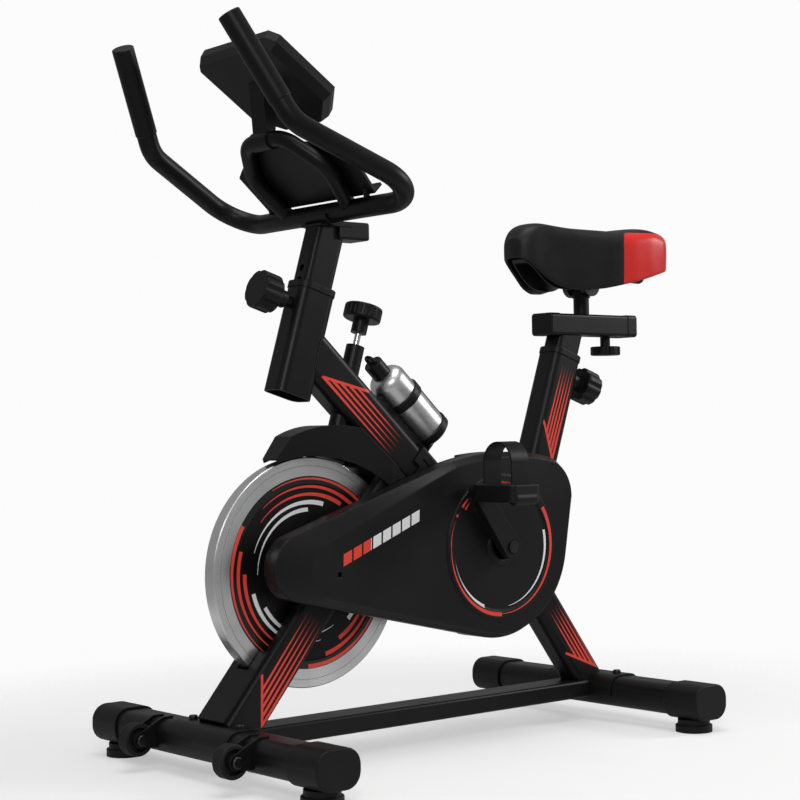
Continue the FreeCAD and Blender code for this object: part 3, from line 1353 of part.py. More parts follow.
def media_tray():
    """Arched rest for a phone or tablet, on the console bar, with two props on the crossbar."""
    w = TRAY_HALF_WIDTH
    n = TRAY_LENGTH
    edges = [Part.LineSegment(Vector(0, -w * 0.94, 0), Vector(n * 0.6, -w, 0)).toShape(),
             Part.Arc(Vector(n * 0.6, -w, 0), Vector(n, 0, 0), Vector(n * 0.6, w, 0)).toShape(),
             Part.LineSegment(Vector(n * 0.6, w, 0), Vector(0, w * 0.94, 0)).toShape(),
             Part.LineSegment(Vector(0, w * 0.94, 0), Vector(0, -w * 0.94, 0)).toShape()]
    plate = Part.Face(Part.Wire(edges)).extrude(Vector(0, 0, TRAY_THICKNESS))
    lip = Part.makeBox(5, 2 * w * 0.94, 20, Vector(-4, -w * 0.94, 0))
    tray = plate.fuse(lip).removeSplitter()
    tray.rotate(ORIGIN, Y_AXIS, -CONSOLE_BAR_ANGLE)
    rise = direction(CONSOLE_BAR_ANGLE - 90) * CONSOLE_BAR_RADIUS
    tray.translate(console_bar_point(TRAY_START, 0) + rise)
    props = []
    for side in (1, -1):
        foot = console_bar_point(0, side * w * 0.84)
        props.append(rod(5.0, foot, console_bar_point(TRAY_START + 8, side * w * 0.84) + rise))
    tray = tray.fuse(props).removeSplitter()
    return cut_all(tray, [pipe(handlebar_path(), BAR_RADIUS), console_bar()])


# ---------------------------------------------------------------- seat group
def seat_post():
    """Inner post with pin holes, welded under the slider tube."""
    reach = (SLIDER_Z - SLIDER_HEIGHT / 2 - SEAT_TUBE_FOOT.z) / SEAT_AXIS.z
    bottom = SEAT_TUBE_LENGTH - 190
    solid = tube(POST_DEPTH, POST_WIDTH, 9.0, POST_WALL, reach + 40 - bottom)
    solid.translate(Vector(0, 0, bottom))
    for i in range(-4, 3):
        at = SEAT_PIN_AT + 20 * i
        if at > bottom + 10:
            solid = solid.cut(Part.makeCylinder(PIN_RADIUS + 0.6, 60, Vector(0, 0, at), X_AXIS * -1))
    solid = lean(solid, SEAT_TUBE_FOOT, -SEAT_LEAN)
    above = Part.makeBox(500, 300, 200, Vector(-600, -150, SLIDER_Z - SLIDER_HEIGHT / 2))
    return cut_all(solid, [above])


def slider_bar(grow=0.0):
    """Solid envelope of the slider tube, between its end caps."""
    solid = bar(SLIDER_HEIGHT + 2 * grow, SLIDER_WIDTH + 2 * grow, 5.0 + grow,
                SLIDER_LENGTH - 12)
    solid.rotate(ORIGIN, Y_AXIS, 90)
    solid.translate(Vector(SLIDER_FRONT - SLIDER_LENGTH + 6, 0, SLIDER_Z))
    return solid


def slot(x_low, x_high, half_width, z_low, z_high):
    """Upright slot with round ends."""
    middle = Part.makeBox(x_high - x_low, 2 * half_width, z_high - z_low,
                          Vector(x_low, -half_width, z_low))
    ends = [Part.makeCylinder(half_width, z_high - z_low, Vector(x, 0, z_low))
            for x in (x_low, x_high)]
    return middle.fuse(ends)


def slider_tube():
    """Fore-and-aft tube on the seat post, slotted above for the pillar and below for the knob."""
    solid = slider_bar().cut(slider_bar(-SLIDER_WALL))
    top = slot(PILLAR_X - SLIDE_BACK, PILLAR_X + SLIDE_FORWARD, PILLAR_RADIUS + 0.6,
               SLIDER_Z, SLIDER_Z + 40)
    under = slot(SLIDER_KNOB_X - SLIDE_BACK, SLIDER_KNOB_X + SLIDE_FORWARD, 6.0,
                 SLIDER_Z - 40, SLIDER_Z)
    return cut_all(solid, [top, under])


def slider_cap(end):
    """Rounded cap over one end of the slider tube."""
    solid = bar(SLIDER_HEIGHT + 2, SLIDER_WIDTH + 2, 6.0, SLIDER_CAP)
    tip = [e for e in solid.Edges if abs(e.CenterOfMass.z - SLIDER_CAP) < 0.01]
    solid = solid.makeFillet(3.5, tip)
    solid.rotate(ORIGIN, Y_AXIS, 90)
    if end > 0:
        solid.translate(Vector(SLIDER_FRONT - SLIDER_CAP, 0, SLIDER_Z))
    else:
        solid = solid.mirror(ORIGIN, X_AXIS)
        solid.translate(Vector(SLIDER_FRONT - SLIDER_LENGTH + SLIDER_CAP, 0, SLIDER_Z))
    return solid.cut(slider_bar())


def saddle_pillar():
    """Sliding block inside the tube with the round pillar that carries the saddle."""
    clear = SLIDER_WALL + SLIDING_FIT
    block = bar(SLIDER_HEIGHT - 2 * clear, SLIDER_WIDTH - 2 * clear, 3.0, 100)
    block.rotate(ORIGIN, Y_AXIS, 90)
    block.translate(Vector(SLIDER_KNOB_X - 14, 0, SLIDER_Z))
    top = TILT_PIVOT_Z - 10
    pillar = Part.makeCylinder(PILLAR_RADIUS, top - SLIDER_Z, Vector(PILLAR_X, 0, SLIDER_Z))
    bolt = Part.makeCylinder(4.0 + RUNNING_FIT, 60, Vector(SLIDER_KNOB_X, 0, SLIDER_Z - 50))
    return block.fuse(pillar).removeSplitter().cut(bolt)


def saddle_clamp():
    """Head on top of the pillar, with the cross barrel that the saddle tilts on."""
    head = Part.makeCylinder(PILLAR_RADIUS + 2, 24, Vector(PILLAR_X, 0, TILT_PIVOT_Z - 22))
    barrel = disc(10.0, -16, 16, Vector(PILLAR_X, 0, TILT_PIVOT_Z))
    clamp = head.fuse(barrel).removeSplitter()
    clamp = clamp.cut(Part.makeCylinder(PILLAR_RADIUS, 22, Vector(PILLAR_X, 0, TILT_PIVOT_Z - 32)))
    bore = disc(4.0 + RUNNING_FIT, -40, 40, Vector(PILLAR_X, 0, TILT_PIVOT_Z))
    return clamp.cut(bore)


def slider_knob():
    """Star knob under the slider tube, with the bolt that clamps the block."""
    top = SLIDER_Z - SLIDER_HEIGHT / 2 - 1
    head = lobed_knob(27.0, 16.0, 7, 2.5)
    head.translate(Vector(SLIDER_KNOB_X, 0, top - 33))
    neck = Part.makeCylinder(9.0, 17.5, Vector(SLIDER_KNOB_X, 0, top - 17.5))
    bolt = Part.makeCylinder(4.0, 38, Vector(SLIDER_KNOB_X, 0, top - 20))
    return head.fuse([neck, bolt]).removeSplitter()


def rail_path(side):
    """Centre line of one saddle rail, hooked up into the pan at the rear."""
    points = [Vector(SADDLE_NOSE_X - 62, side * 9, SADDLE_FLOOR_Z - 5),
              Vector(-322, side * 14, RAIL_Z + 8), Vector(-352, side * RAIL_Y, RAIL_Z),
              Vector(-448, side * RAIL_Y, RAIL_Z), Vector(-508, side * 44, RAIL_Z - 6),
              Vector(-511, side * 46, SADDLE_FLOOR_Z - 5)]
    return bent_path(points, [60, 40, 60, 10])


def saddle_rails():
    """Two bent rails, and the clamp cheeks that grip them on a common tilt bolt."""
    pan = saddle_pan()
    rails = [pipe(rail_path(side), RAIL_RADIUS) for side in (1, -1)]
    pivot = Vector(PILLAR_X, 0, TILT_PIVOT_Z)
    cradle = disc(4.0, -33, 33, pivot)
    for low in (16.5, -27.5):
        cradle = cradle.fuse(disc(20.0, low, low + 11, pivot))
    for low in (27.5, -33.5):
        cradle = cradle.fuse(hexagon(7.5, low, low + 6, pivot))
    cradle = cradle.removeSplitter().cut(rails[0]).cut(rails[1])
    return [cradle] + [cut_all(rail, [pan]) for rail in rails]


def saddle_outline(inset):
    """Plan of the saddle: rounded nose, waist and broad rear."""
    w = SADDLE_HALF_WIDTH - inset
    nose = SADDLE_NOSE_X - inset
    rear = SADDLE_REAR_X + inset
    span = SADDLE_NOSE_X - SADDLE_REAR_X
    knots = [Vector(nose, 0, 0), Vector(nose - 8, 24 - inset * 0.7, 0),
             Vector(nose - 0.16 * span, 36 - inset * 0.9, 0),
             Vector(nose - 0.36 * span, 50 - inset, 0),
             Vector(SADDLE_NOSE_X - 0.60 * span, 88 - inset, 0),
             Vector(SADDLE_NOSE_X - 0.80 * span, w, 0),
             Vector(rear + 16, w * 0.78, 0), Vector(rear + 3, w * 0.40, 0)]
    knots += [Vector(p.x, -p.y, 0) for p in reversed(knots[1:])]
    curve = Part.BSplineCurve()
    curve.interpolate(knots, PeriodicFlag=True)
    return Part.Face(Part.Wire(curve.toShape()))


def saddle_slab(inset, low, high):
    """Flat slab with the saddle's plan."""
    face = saddle_outline(inset)
    face.translate(Vector(0, 0, low))
    return face.extrude(Vector(0, 0, high - low))


def saddle_profile(lift):
    """Side view of the saddle: dished top, deep sides. Its lower edge is raised by lift."""
    rear = SADDLE_REAR_X - 6
    top = [(-218, 814), (-219, 834), (-234, 862), (-273, 876), (-330, 869), (-414, 866),
           (-480, 874), (-520, 869), (rear, 850)]
    base = [(rear, 801 + lift), (-436, 772 + lift), (-372, 758 + lift), (-320, 755 + lift),
            (-292, 762 + lift), (-266, 782 + lift), (-240, 804 + lift), (-218, 814 + lift)]
    over = Part.BSplineCurve()
    over.interpolate([Vector(x, 0, z) for x, z in top])
    under = Part.BSplineCurve()
    under.interpolate([Vector(x, 0, z) for x, z in base])
    edges = [over.toShape(), Part.LineSegment(Vector(rear, 0, 850), Vector(rear, 0, 801 + lift)).toShape(),
             under.toShape()]
    if lift:
        edges.append(Part.LineSegment(Vector(-218, 0, 814 + lift), Vector(-218, 0, 814)).toShape())
    return across(Part.Face(Part.Wire(edges)), -150, 150)


def saddle():
    """Padded saddle as one plain closed solid: dished top, side skirts, hollow underneath."""
    body = saddle_slab(0.0, 740, 900).common(saddle_profile(0))
    hollow = saddle_slab(SADDLE_SKIRT, 700, SADDLE_FLOOR_Z)
    return cut_all(body, [hollow])


def saddle_pan():
    """Plastic pan inside the saddle: a floor with a rim down inside the skirts."""
    gap = SADDLE_SKIRT + 0.5
    outer = saddle_slab(gap, 740, SADDLE_FLOOR_Z - 0.5).common(saddle_profile(5))
    inner = saddle_slab(gap + 3.0, 700, SADDLE_FLOOR_Z - 6)
    return cut_all(outer, [inner])


# ---------------------------------------------------------------- write every piece
PIECES = {
    "base_beam": base_beam(),
    "stabilizers": group([stabilizer(STABILIZER_REACH, FRONT_HALF_LENGTH),
                          stabilizer(-STABILIZER_REACH, REAR_HALF_LENGTH)]),
    "stabilizer_end_caps": group([end_cap(x, half, side)
                                  for x, half in ((STABILIZER_REACH, FRONT_HALF_LENGTH),
                                                  (-STABILIZER_REACH, REAR_HALF_LENGTH))
                                  for side in (1, -1)]),
    "stabilizer_brackets": group([saddle_bracket(STABILIZER_REACH),
                                  saddle_bracket(-STABILIZER_REACH)]
                                 + wheel_fork(1) + wheel_fork(-1)),
    "fork_legs": group([fork_leg(1), fork_leg(-1)]),
    "fork_plates": group([fork_front_plate(), crown_plate(), bearing_housing(1),
                          bearing_housing(-1)]),
    "upper_beam": upper_beam(),
    "handlebar_sleeve": handlebar_sleeve(),
    "post_bushes": group([sleeve_bush(), seat_bush()]),
    "seat_tube": seat_tube(),
    "rear_leg": rear_leg(),
    "frame_bosses": group([bottom_bracket_shell(), brake_housing(),
                           place_on_front(pin_barrel(24.0), HANDLEBAR_PIN_AT),
                           place_on_rear(pin_barrel(14.0), SEAT_PIN_AT)]),
    "bearings": group(bearings()),
    "beam_shroud": beam_shroud(),
    "flywheel_guard": flywheel_guard(),
    "frame_fasteners": group([clamp_bolt(x, s) for x in (STABILIZER_REACH, -STABILIZER_REACH)
                              for s in (1, -1)] + [wheel_bolt(1), wheel_bolt(-1)]
                             + cover_screws()),
    "belt_cover_outer": belt_cover_outer(),
    "belt_cover_inner": belt_cover_inner(),
    "bottle_body": bottle_body(),
    "bottle_cap": bottle_cap(),
    "bottle_cage": bottle_cage(),
    "drive_belt": drive_belt(),
    "flywheel_rim": flywheel_rim(),
    "flywheel_disc": flywheel_disc(),
    "flywheel_axle": group(flywheel_axle()),
    "small_pulley": pulley(SMALL_PULLEY_RADIUS, AXLE_RADIUS, FLYWHEEL_CENTRE, 0),
    "large_pulley": pulley(LARGE_PULLEY_RADIUS, CRANK_AXLE_RADIUS, CRANK_CENTRE, 6),
    "crank_axle": group([crank_axle(), pedal_spindle(1), pedal_spindle(-1)]),
    "crank_arms": group([crank_arm(1), crank_arm(-1)]),
    "pedal_left": pedal(1),
    "pedal_right": pedal(-1),
    "pedal_strap_left": strap_band(1),
    "pedal_strap_right": strap_band(-1),
    "handlebar_post": handlebar_post(),
    "handlebar": handlebar(),
    "handlebar_grips": group([grip(1), grip(-1)]),
    "bar_clamp": bar_clamp(),
    "console_bar": console_bar(),
    "console_case": console_case(),
    "console_screen": console_screen(),
    "console_button": console_button(),
    "media_tray": media_tray(),
    "handlebar_pin_knob": place_on_front(pull_knob(5.4, 24.0), HANDLEBAR_PIN_AT),
    "seat_pin_knob": place_on_rear(pull_knob(4.4, 14.0), SEAT_PIN_AT),
    "seat_post": seat_post(),
    "slider_tube": group([slider_tube(), slider_cap(1), slider_cap(-1)]),
    "saddle_pillar": group([saddle_pillar(), saddle_clamp()]),
    "slider_knob": slider_knob(),
    "saddle": saddle(),
    "saddle_pan": saddle_pan(),
    "saddle_rails": group(saddle_rails()),
    "resistance_knob": resistance_knob(),
    "brake_rod": brake_rod(),
    "brake_pad": brake_pad(),
    "transport_wheel_left": transport_wheel(1),
    "transport_wheel_right": transport_wheel(-1),
}
for name, x, y in foot_places():
    PIECES[name] = levelling_foot(x, y)

for name, shape in PIECES.items():
    save(name, shape)
print(len(PIECES), "pieces")
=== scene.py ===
import bmesh
import bpy
import json
from math import cos, pi, radians, sin
from mathutils import Euler, Matrix, Vector


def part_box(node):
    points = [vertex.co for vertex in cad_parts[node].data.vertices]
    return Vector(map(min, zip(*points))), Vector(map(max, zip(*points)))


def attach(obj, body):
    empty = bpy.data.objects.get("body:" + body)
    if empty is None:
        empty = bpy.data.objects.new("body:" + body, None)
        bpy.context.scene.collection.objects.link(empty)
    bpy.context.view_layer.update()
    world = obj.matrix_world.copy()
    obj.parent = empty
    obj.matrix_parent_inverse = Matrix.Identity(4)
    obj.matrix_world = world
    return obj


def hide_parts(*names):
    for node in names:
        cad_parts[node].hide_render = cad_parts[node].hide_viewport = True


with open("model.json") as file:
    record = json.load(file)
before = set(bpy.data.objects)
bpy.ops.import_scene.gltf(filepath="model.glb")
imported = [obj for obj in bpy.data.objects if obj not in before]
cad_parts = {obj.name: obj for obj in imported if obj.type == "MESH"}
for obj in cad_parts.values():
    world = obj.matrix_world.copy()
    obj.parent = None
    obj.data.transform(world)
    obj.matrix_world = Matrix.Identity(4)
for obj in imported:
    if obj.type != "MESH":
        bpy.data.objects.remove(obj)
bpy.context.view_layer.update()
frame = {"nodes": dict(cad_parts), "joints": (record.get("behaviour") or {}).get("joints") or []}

nodes = frame["nodes"]
joints = {joint["name"]: joint for joint in frame["joints"]}


# ------------------------------------------------------------ showroom
# A round pale sheet lies under the bike and its rim melts into white air, lit by three soft
# boxes: one overhead, one wide one to the front of the near side and one behind for the edges.
def put(tree, kind, sockets=(), **settings):
    """One shader node with its sockets set or wired."""
    made = tree.nodes.new("ShaderNode" + kind)
    for key, value in settings.items():
        setattr(made, key, value)
    for key, value in dict(sockets).items():
        if isinstance(value, bpy.types.NodeSocket):
            tree.links.new(value, made.inputs[key])
        else:
            made.inputs[key].default_value = value
    return made


def maths(tree, operation, first, second=0.0, third=0.0, clamp=False):
    """One Math node, given back as its output socket."""
    made = put(tree, "Math", {0: first, 1: second, 2: third}, operation=operation)
    made.use_clamp = clamp
    return made.outputs[0]


def start_material(name):
    """A material with a Principled shader on its output and nothing else."""
    made = bpy.data.materials.new(name)
    made.use_nodes = True
    made.node_tree.nodes.clear()
    shader = put(made.node_tree, "BsdfPrincipled")
    put(made.node_tree, "OutputMaterial", {"Surface": shader.outputs["BSDF"]})
    return made, made.node_tree, shader


def place_softbox(name, place, target, size, watts):
    """Square area light at place, facing target."""
    lamp = bpy.data.lights.new(name, "AREA")
    lamp.shape = "SQUARE"
    lamp.size = size
    lamp.energy = watts
    box = bpy.data.objects.new(name, lamp)
    box.location = place
    box.rotation_euler = (Vector(target) - Vector(place)).to_track_quat("-Z", "Y").to_euler()
    bpy.context.scene.collection.objects.link(box)


FLOOR_HALF = 30.0
FLOOR_FULL_OUT_TO, FLOOR_GONE_AT = 0.7, 1.4


def pale_floor():
    """Matt pale sheet with the faintest unevenness; it thins to nothing away from the bike."""
    material, tree, shader = start_material("pale_sheet")
    place = put(tree, "TexCoord").outputs["Object"]
    cloud = put(tree, "TexNoise", {"Vector": place, "Scale": 1.5, "Detail": 2.0}).outputs["Fac"]
    shade = put(tree, "Mix", {"Factor": cloud, "A": (0.93, 0.93, 0.93, 1), "B": (0.95, 0.95, 0.95, 1)},
                data_type="RGBA").outputs[2]
    tree.links.new(shade, shader.inputs["Base Color"])
    away = put(tree, "VectorMath", {0: place}, operation="LENGTH").outputs["Value"]
    thin = put(tree, "MapRange", {0: away, 1: FLOOR_FULL_OUT_TO, 2: FLOOR_GONE_AT, 3: 0.55, 4: 0.0},
               interpolation_type="SMOOTHSTEP").outputs[0]
    tree.links.new(thin, shader.inputs["Alpha"])
    shader.inputs["Roughness"].default_value = 0.85
    shader.inputs["Specular IOR Level"].default_value = 0.1
    return material


sheet_mesh = bmesh.new()
bmesh.ops.create_grid(sheet_mesh, x_segments=2, y_segments=2, size=FLOOR_HALF)
floor_data = bpy.data.meshes.new("showroom_floor")
sheet_mesh.to_mesh(floor_data)
sheet_mesh.free()
floor = bpy.data.objects.new("showroom_floor", floor_data)
floor_data.materials.append(pale_floor())
bpy.context.scene.collection.objects.link(floor)

bike_middle = (0.0, 0.0, 0.5)
place_softbox("overhead_box", (0.3, 0.4, 3.4), bike_middle, 2.2, 55)
place_softbox("near_front_box", (2.6, 3.0, 2.3), bike_middle, 0.9, 42)
place_softbox("rear_edge_box", (-2.6, 1.6, 1.7), bike_middle, 1.0, 36)

world = bpy.data.worlds.new("showroom_air")
world.use_nodes = True
air = world.node_tree
air.nodes.clear()
seen = put(air, "LightPath").outputs["Is Camera Ray"]
SEEN_AIR = 0.97
LIGHTING_AIR = 0.30
strength = maths(air, "MULTIPLY_ADD", seen, SEEN_AIR - LIGHTING_AIR, LIGHTING_AIR)
glow = put(air, "Background", {"Color": (1, 1, 1, 1), "Strength": strength})
put(air, "OutputWorld", {"Surface": glow.outputs[0]})
bpy.context.scene.world = world
bpy.context.scene.view_settings.view_transform = "Standard"

CAMERA_PLACE = (1.93669, 2.25658, 0.52324)
CAMERA_HEADING, CAMERA_PITCH, CAMERA_ROLL = -129.81, 0.85, -0.98
camera_data = bpy.data.cameras.new("view_from_near_front")
camera_data.sensor_width = 36.0
camera_data.lens = 80.48
camera = bpy.data.objects.new("view_from_near_front", camera_data)
facing = Euler((radians(90 + CAMERA_PITCH), 0, radians(CAMERA_HEADING - 90))).to_matrix()
turned = facing @ Matrix.Rotation(radians(CAMERA_ROLL), 3, "Z")
camera.matrix_world = Matrix.Translation(CAMERA_PLACE) @ turned.to_4x4()
bpy.context.scene.collection.objects.link(camera)
bpy.context.scene.camera = camera


# ------------------------------------------------------------ main frame
# Welded from bent and cut steel tube, then coated with satin black powder. The coat has a fine
# orange-peel surface and rubs thin on its edges. Red stripes are film, laid on before packing.
def start_group(name, inputs, outputs):
    """An empty node group with float, colour or vector sockets; a colour input holds its value."""
    group = bpy.data.node_groups.new(name, "ShaderNodeTree")
    kinds = {"f": "NodeSocketFloat", "c": "NodeSocketColor", "v": "NodeSocketVector"}
    for socket_name, kind, value in inputs:
        socket = group.interface.new_socket(socket_name, in_out="INPUT", socket_type=kinds[kind])
        if value is not None:
            socket.default_value = value
    for socket_name, kind in outputs:
        group.interface.new_socket(socket_name, in_out="OUTPUT", socket_type=kinds[kind])
    entry = group.nodes.new("NodeGroupInput")
    exit_node = group.nodes.new("NodeGroupOutput")
    return group, entry.outputs, exit_node.inputs


def use_group(tree, group, sockets=()):
    """Place a node group in a material and give back its outputs."""
    made = tree.nodes.new("ShaderNodeGroup")
    made.node_tree = group
    for key, value in dict(sockets).items():
        if isinstance(value, bpy.types.NodeSocket):
            tree.links.new(value, made.inputs[key])
        else:
            made.inputs[key].default_value = value
    return made.outputs


def build_edge_rub():
    """Where an edge is: a mask broken up by noise, and the normal with that edge eased."""
    group, given, told = start_group("edge_rub", [("Radius", "f", 0.0015), ("Patch Scale", "f", 60.0)],
                                     [("Edge", "f"), ("Normal", "v")])
    eased = put(group, "Bevel", {"Radius": given["Radius"]}, samples=4).outputs[0]
    flat = put(group, "NewGeometry").outputs["Normal"]
    likeness = put(group, "VectorMath", {0: eased, 1: flat}, operation="DOT_PRODUCT").outputs["Value"]
    turn = maths(group, "SUBTRACT", 1.0, likeness)
    place = put(group, "TexCoord").outputs["Object"]
    patches = put(group, "TexNoise", {"Vector": place, "Scale": given["Patch Scale"], "Detail": 4.0})
    rubbed = maths(group, "MULTIPLY", turn, maths(group, "MULTIPLY", patches.outputs["Fac"], 9.0))
    group.links.new(maths(group, "SUBTRACT", rubbed, 0.12, clamp=True), told["Edge"])
    group.links.new(eased, told["Normal"])
    return group


def build_grain():
    """Fine surface: a shade that wanders about 0.5, and a height for bump, at one scale."""
    group, given, told = start_group("fine_grain", [("Scale", "f", 900.0), ("Cloud Scale", "f", 7.0)],
                                     [("Cloud", "f"), ("Height", "f")])
    place = put(group, "TexCoord").outputs["Object"]
    cloud = put(group, "TexNoise", {"Vector": place, "Scale": given["Cloud Scale"], "Detail": 5.0})
    grain = put(group, "TexNoise", {"Vector": place, "Scale": given["Scale"], "Detail": 2.0})
    group.links.new(cloud.outputs["Fac"], told["Cloud"])
    group.links.new(grain.outputs["Fac"], told["Height"])
    return group


edge_rub = build_edge_rub()
fine_grain = build_grain()


def blend_colour(tree, share, first, second):
    """Mix of two colours by a share."""
    return put(tree, "Mix", {"Factor": share, "A": first, "B": second}, data_type="RGBA").outputs[2]


def span(tree, value, low, high, start=0.0, end=1.0):
    """Value taken from the range low..high to start..end, held at both ends."""
    return put(tree, "MapRange", {0: value, 1: low, 2: high, 3: start, 4: end}).outputs[0]


def coat(name, dark, light, rub_colour, roughness, grain_scale, grain_depth, edge_radius=0.0016,
         metallic=0.0, shine=0.5, paint_over=None):
    """Painted, moulded or zinc-plated surface: clouded colour, rubbed edges, grain in the bump.

    paint_over(tree, colour) may lay a pattern over the colour and gives the colour back.
    """
    material, tree, shader = start_material(name)
    grain = use_group(tree, fine_grain, {"Scale": grain_scale})
    rub = use_group(tree, edge_rub, {"Radius": edge_radius})
    colour = blend_colour(tree, span(tree, grain["Cloud"], 0.3, 0.7), (*dark, 1), (*light, 1))
    worn = blend_colour(tree, maths(tree, "MULTIPLY", rub["Edge"], 0.5), colour, (*rub_colour, 1))
    if paint_over:
        worn = paint_over(tree, worn)
    tree.links.new(worn, shader.inputs["Base Color"])
    low, high = roughness
    tree.links.new(span(tree, grain["Cloud"], 0.3, 0.7, low, high), shader.inputs["Roughness"])
    bump = put(tree, "Bump", {"Height": grain["Height"], "Normal": rub["Normal"],
                              "Distance": grain_depth, "Strength": 1.0})
    tree.links.new(bump.outputs[0], shader.inputs["Normal"])
    shader.inputs["Metallic"].default_value = metallic
    shader.inputs["Specular IOR Level"].default_value = shine
    return material


FILM_RED = (0.80, 0.068, 0.045, 1)
STRIPE_COUNT = 5
STRIPE_HALF_WIDE, STRIPE_HALF_FINE = 0.0026, 0.0006
SLASH_HALF = 0.0022


def build_racing_stripes():
    """Five lines that start at a slash and thin out, seen from their starting corner.

    X runs with the lines, Z runs down across them; the slash leaves the corner at its own angle.
    """
    group, given, told = start_group(
        "racing_stripes",
        [("Place", "v", None), ("Length", "f", 0.18), ("Band", "f", 0.032), ("Slash Turn", "f", 0.55),
         ("Slash Length", "f", 0.08)], [("Mask", "f")])
    parts = put(group, "SeparateXYZ", {0: given["Place"]}).outputs
    along, over = parts["X"], maths(group, "MULTIPLY", parts["Z"], -1.0)
    share = maths(group, "DIVIDE", along, given["Length"], clamp=True)
    half = span(group, share, 0.0, 1.0, STRIPE_HALF_WIDE, STRIPE_HALF_FINE)
    pitch = maths(group, "DIVIDE", given["Band"], STRIPE_COUNT - 1.0)
    in_pitches = maths(group, "DIVIDE", over, pitch)
    off_line = maths(group, "MULTIPLY", maths(group, "PINGPONG", in_pitches, 0.5), pitch)
    line = maths(group, "LESS_THAN", off_line, half)
    line = maths(group, "MULTIPLY", line, maths(group, "GREATER_THAN", over, -STRIPE_HALF_WIDE))
    top = maths(group, "ADD", given["Band"], STRIPE_HALF_WIDE)
    line = maths(group, "MULTIPLY", line, maths(group, "LESS_THAN", over, top))
    turn_cos = maths(group, "COSINE", given["Slash Turn"])
    turn_sin = maths(group, "SINE", given["Slash Turn"])
    up_slash = maths(group, "MULTIPLY_ADD", over, turn_sin, maths(group, "MULTIPLY", along, turn_cos))
    beyond = maths(group, "SUBTRACT", maths(group, "MULTIPLY", over, turn_cos),
                   maths(group, "MULTIPLY", along, turn_sin))
    line = maths(group, "MULTIPLY", line, maths(group, "LESS_THAN", beyond, 0.0))
    line = maths(group, "MULTIPLY", line, span(group, share, 0.72, 1.0, 1.0, 0.0))
    slash = maths(group, "LESS_THAN", maths(group, "ABSOLUTE", beyond), SLASH_HALF)
    slash = maths(group, "MULTIPLY", slash, maths(group, "GREATER_THAN", up_slash, -SLASH_HALF))
    slash = maths(group, "MULTIPLY", slash, maths(group, "LESS_THAN", up_slash, given["Slash Length"]))
    group.links.new(maths(group, "MAXIMUM", line, slash), told["Mask"])
    return group


racing_stripes = build_racing_stripes()


def stripes_from(corner, lines_angle, slash_angle, length, band, slash_length):
    """A film of stripes on both flat sides of a tube, its corner given as (x, z).

    Angles are in degrees from upright, turned forward; both flat sides carry the same film.
    """
    def lay(tree, colour):
        place = put(tree, "TexCoord").outputs["Object"]
        local = put(tree, "Mapping", {"Vector": place, "Location": (corner[0], 0, corner[1]),
                                      "Rotation": (0, radians(lines_angle - 90), 0)},
                    vector_type="TEXTURE").outputs[0]
        mask = use_group(tree, racing_stripes, {
            "Place": local, "Length": length, "Band": band,
            "Slash Turn": radians(slash_angle - lines_angle), "Slash Length": slash_length})["Mask"]
        facing_side = put(tree, "SeparateXYZ", {0: put(tree, "NewGeometry").outputs["Normal"]}).outputs["Y"]
        flat = maths(tree, "GREATER_THAN", maths(tree, "ABSOLUTE", facing_side), 0.9)
        outside = put(tree, "SeparateXYZ", {0: place}).outputs["Y"]
        outside = maths(tree, "GREATER_THAN", maths(tree, "ABSOLUTE", outside), 0.0235)
        mask = maths(tree, "MULTIPLY", mask, maths(tree, "MULTIPLY", flat, outside))
        return blend_colour(tree, mask, colour, FILM_RED)
    return lay


POWDER_DARK, POWDER_LIGHT = (0.0045, 0.0045, 0.0048), (0.0065, 0.0065, 0.0068)
POWDER_RUB = (0.03, 0.03, 0.032)


def powder_coat(name, film=None):
    """Satin black powder coat, with a film of stripes where one is given."""
    return coat(name, POWDER_DARK, POWDER_LIGHT, POWDER_RUB, (0.34, 0.42), 1100.0, 0.00006,
                shine=0.2, paint_over=film)


def dress(node_name, material):
    """Give a CAD node its finish in every material slot."""
    slots = nodes[node_name].material_slots
    if not slots:
        nodes[node_name].data.materials.append(material)
    for held in slots:
        held.material = material


plain_powder = powder_coat("black_powder_coat")
for tube in ("base_beam", "handlebar_sleeve", "fork_plates", "frame_bosses", "stabilizer_brackets",
             "stabilizers", "seat_post", "handlebar_post"):
    dress(tube, plain_powder)
dress("upper_beam", powder_coat(
    "upper_beam_coat", stripes_from((0.232, 0.6028), -133, -104, 0.187, 0.034, 0.094)))
dress("seat_tube", powder_coat(
    "seat_tube_coat", stripes_from((-0.2667, 0.4618), -20.5, 14.9, 0.168, 0.028, 0.078)))
dress("rear_leg", powder_coat(
    "rear_leg_coat", stripes_from((-0.3695, 0.0907), 36.7, 68.5, 0.156, 0.029, 0.083)))
dress("fork_legs", powder_coat(
    "fork_leg_coat", stripes_from((0.3717, 0.075), -39, -1.1, 0.186, 0.033, 0.078)))


# ------------------------------------------------------------ stabilizer caps, feet and wheels
# Glass-filled nylon caps pushed over the tube ends, screwed nylon levelling feet, and moulded
# wheels with a harder tyre. Fine spark-eroded texture, greyed along its corners.
def moulded_plastic(name, dark=(0.0048, 0.0048, 0.005), light=(0.0072, 0.0072, 0.0075),
                    roughness=(0.42, 0.54), grain_scale=1500.0, grain_depth=0.00008):
    """Textured black moulding."""
    return coat(name, dark, light, (0.03, 0.03, 0.03), roughness, grain_scale, grain_depth, shine=0.2)


cap_nylon = moulded_plastic("textured_nylon")
dress("stabilizer_end_caps", cap_nylon)
for corner in ("front_left", "front_right", "rear_left", "rear_right"):
    dress("foot_" + corner, cap_nylon)
wheel_nylon = moulded_plastic("wheel_nylon", (0.010, 0.010, 0.010), (0.016, 0.016, 0.016), (0.5, 0.62))
dress("transport_wheel_left", wheel_nylon)
dress("transport_wheel_right", wheel_nylon)


